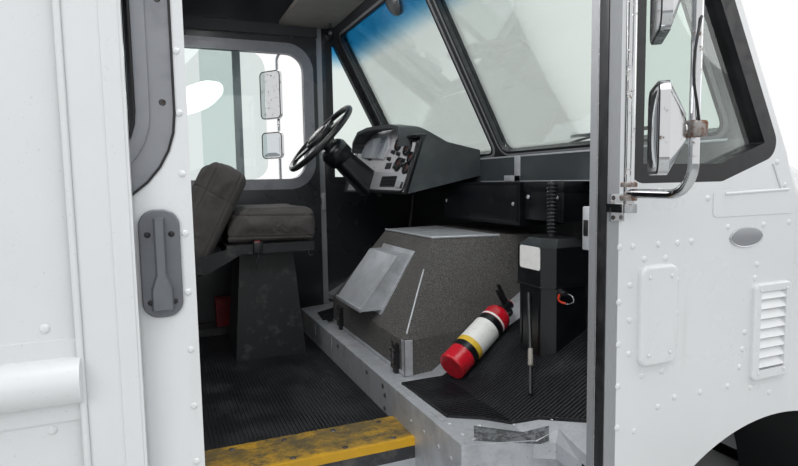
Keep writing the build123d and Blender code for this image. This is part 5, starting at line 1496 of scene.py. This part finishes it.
def lamp(name, place, aim, size, power):
    """A round soft lamp that shines at a point and isn't seen itself."""
    light = bpy.data.lights.new(name, "AREA")
    light.shape = "DISK"
    light.size = size
    light.energy = power
    holder = bpy.data.objects.new(name, light)
    bpy.context.collection.objects.link(holder)
    holder.location = place
    holder.rotation_euler = (Vector(aim) - Vector(place)).to_track_quat("-Z", "Y").to_euler()
    holder.visible_camera = False
    return holder


lamp("lamp_over", (0.4, -3.0, 6.5), (0.0, 0.0, 1.2), 5.0, 150)
# The near lamp would stand as a disc in the window glass, so it isn't mirrored.
near_lamp = lamp("lamp_near", (-2.8, -4.6, 2.8), (-0.6, -1.0, 1.2), 3.0, 68)
near_lamp.visible_glossy = False
lamp("lamp_front", (5.5, -3.5, 3.5), (0.4, 0.0, 1.2), 3.5, 45)
lamp("lamp_far", (0.5, 5.5, 4.5), (0.0, 0.0, 1.2), 4.0, 150)
lamp("lamp_doorway", (-0.25, -1.02, 1.95), (0.35, -0.4, 0.5), 0.5, 9)
lamp("lamp_inside", (-0.50, 0.10, 2.00), (0.45, 0.15, 0.9), 0.8, 5)

world = bpy.context.scene.world or bpy.data.worlds.new("surround")
bpy.context.scene.world = world
world.use_nodes = True
world.node_tree.nodes.clear()
surround = Mixing(world.node_tree)
lit = surround.node("ShaderNodeBackground", {}, {"Color": (0.93, 0.96, 1.0, 1), "Strength": 0.56})
seen = surround.node("ShaderNodeBackground", {}, {"Color": (1, 1, 1, 1), "Strength": 1.0})
camera_ray, glossy_ray, through_ray = [
    surround.node("ShaderNodeLightPath", {}, {}, "Is " + kind + " Ray")
    for kind in ("Camera", "Glossy", "Transmission")]
any_ray = camera_ray.worked("MAXIMUM", camera_ray, glossy_ray)
any_ray = any_ray.worked("MAXIMUM", any_ray, through_ray)
blend = surround.node("ShaderNodeMixShader", {}, {0: any_ray, 1: lit, 2: seen})
surround.put(world.node_tree.nodes.new("ShaderNodeOutputWorld"), 0, blend)
bpy.context.scene.view_settings.view_transform = "Standard"

# Camera: at the photograph's place beside the open doorway, as high as a standing person's chest.
# It looks in and forward, a little downward, and leans by about one degree.
eye = Vector((-0.610, -2.160, 1.200))
yaw = radians(22.66)
pitch = radians(-5.23)
roll = radians(-0.993)
focal_pixels = 576
picture_pixels = 798
looking = Vector((sin(yaw) * cos(pitch), cos(yaw) * cos(pitch), sin(pitch)))
level = Vector((cos(yaw), -sin(yaw), 0))
upright = level.cross(looking)
right = level * cos(roll) + upright * sin(roll)
up = upright * cos(roll) - level * sin(roll)
view = bpy.data.cameras.new("camera")
view.sensor_width = 36
view.lens = focal_pixels / picture_pixels * view.sensor_width
view.clip_start = 0.02
camera = bpy.data.objects.new("camera", view)
bpy.context.collection.objects.link(camera)
camera.matrix_world = Matrix((
    (right.x, up.x, -looking.x, eye.x),
    (right.y, up.y, -looking.y, eye.y),
    (right.z, up.z, -looking.z, eye.z),
    (0, 0, 0, 1),
))
bpy.context.scene.camera = camera
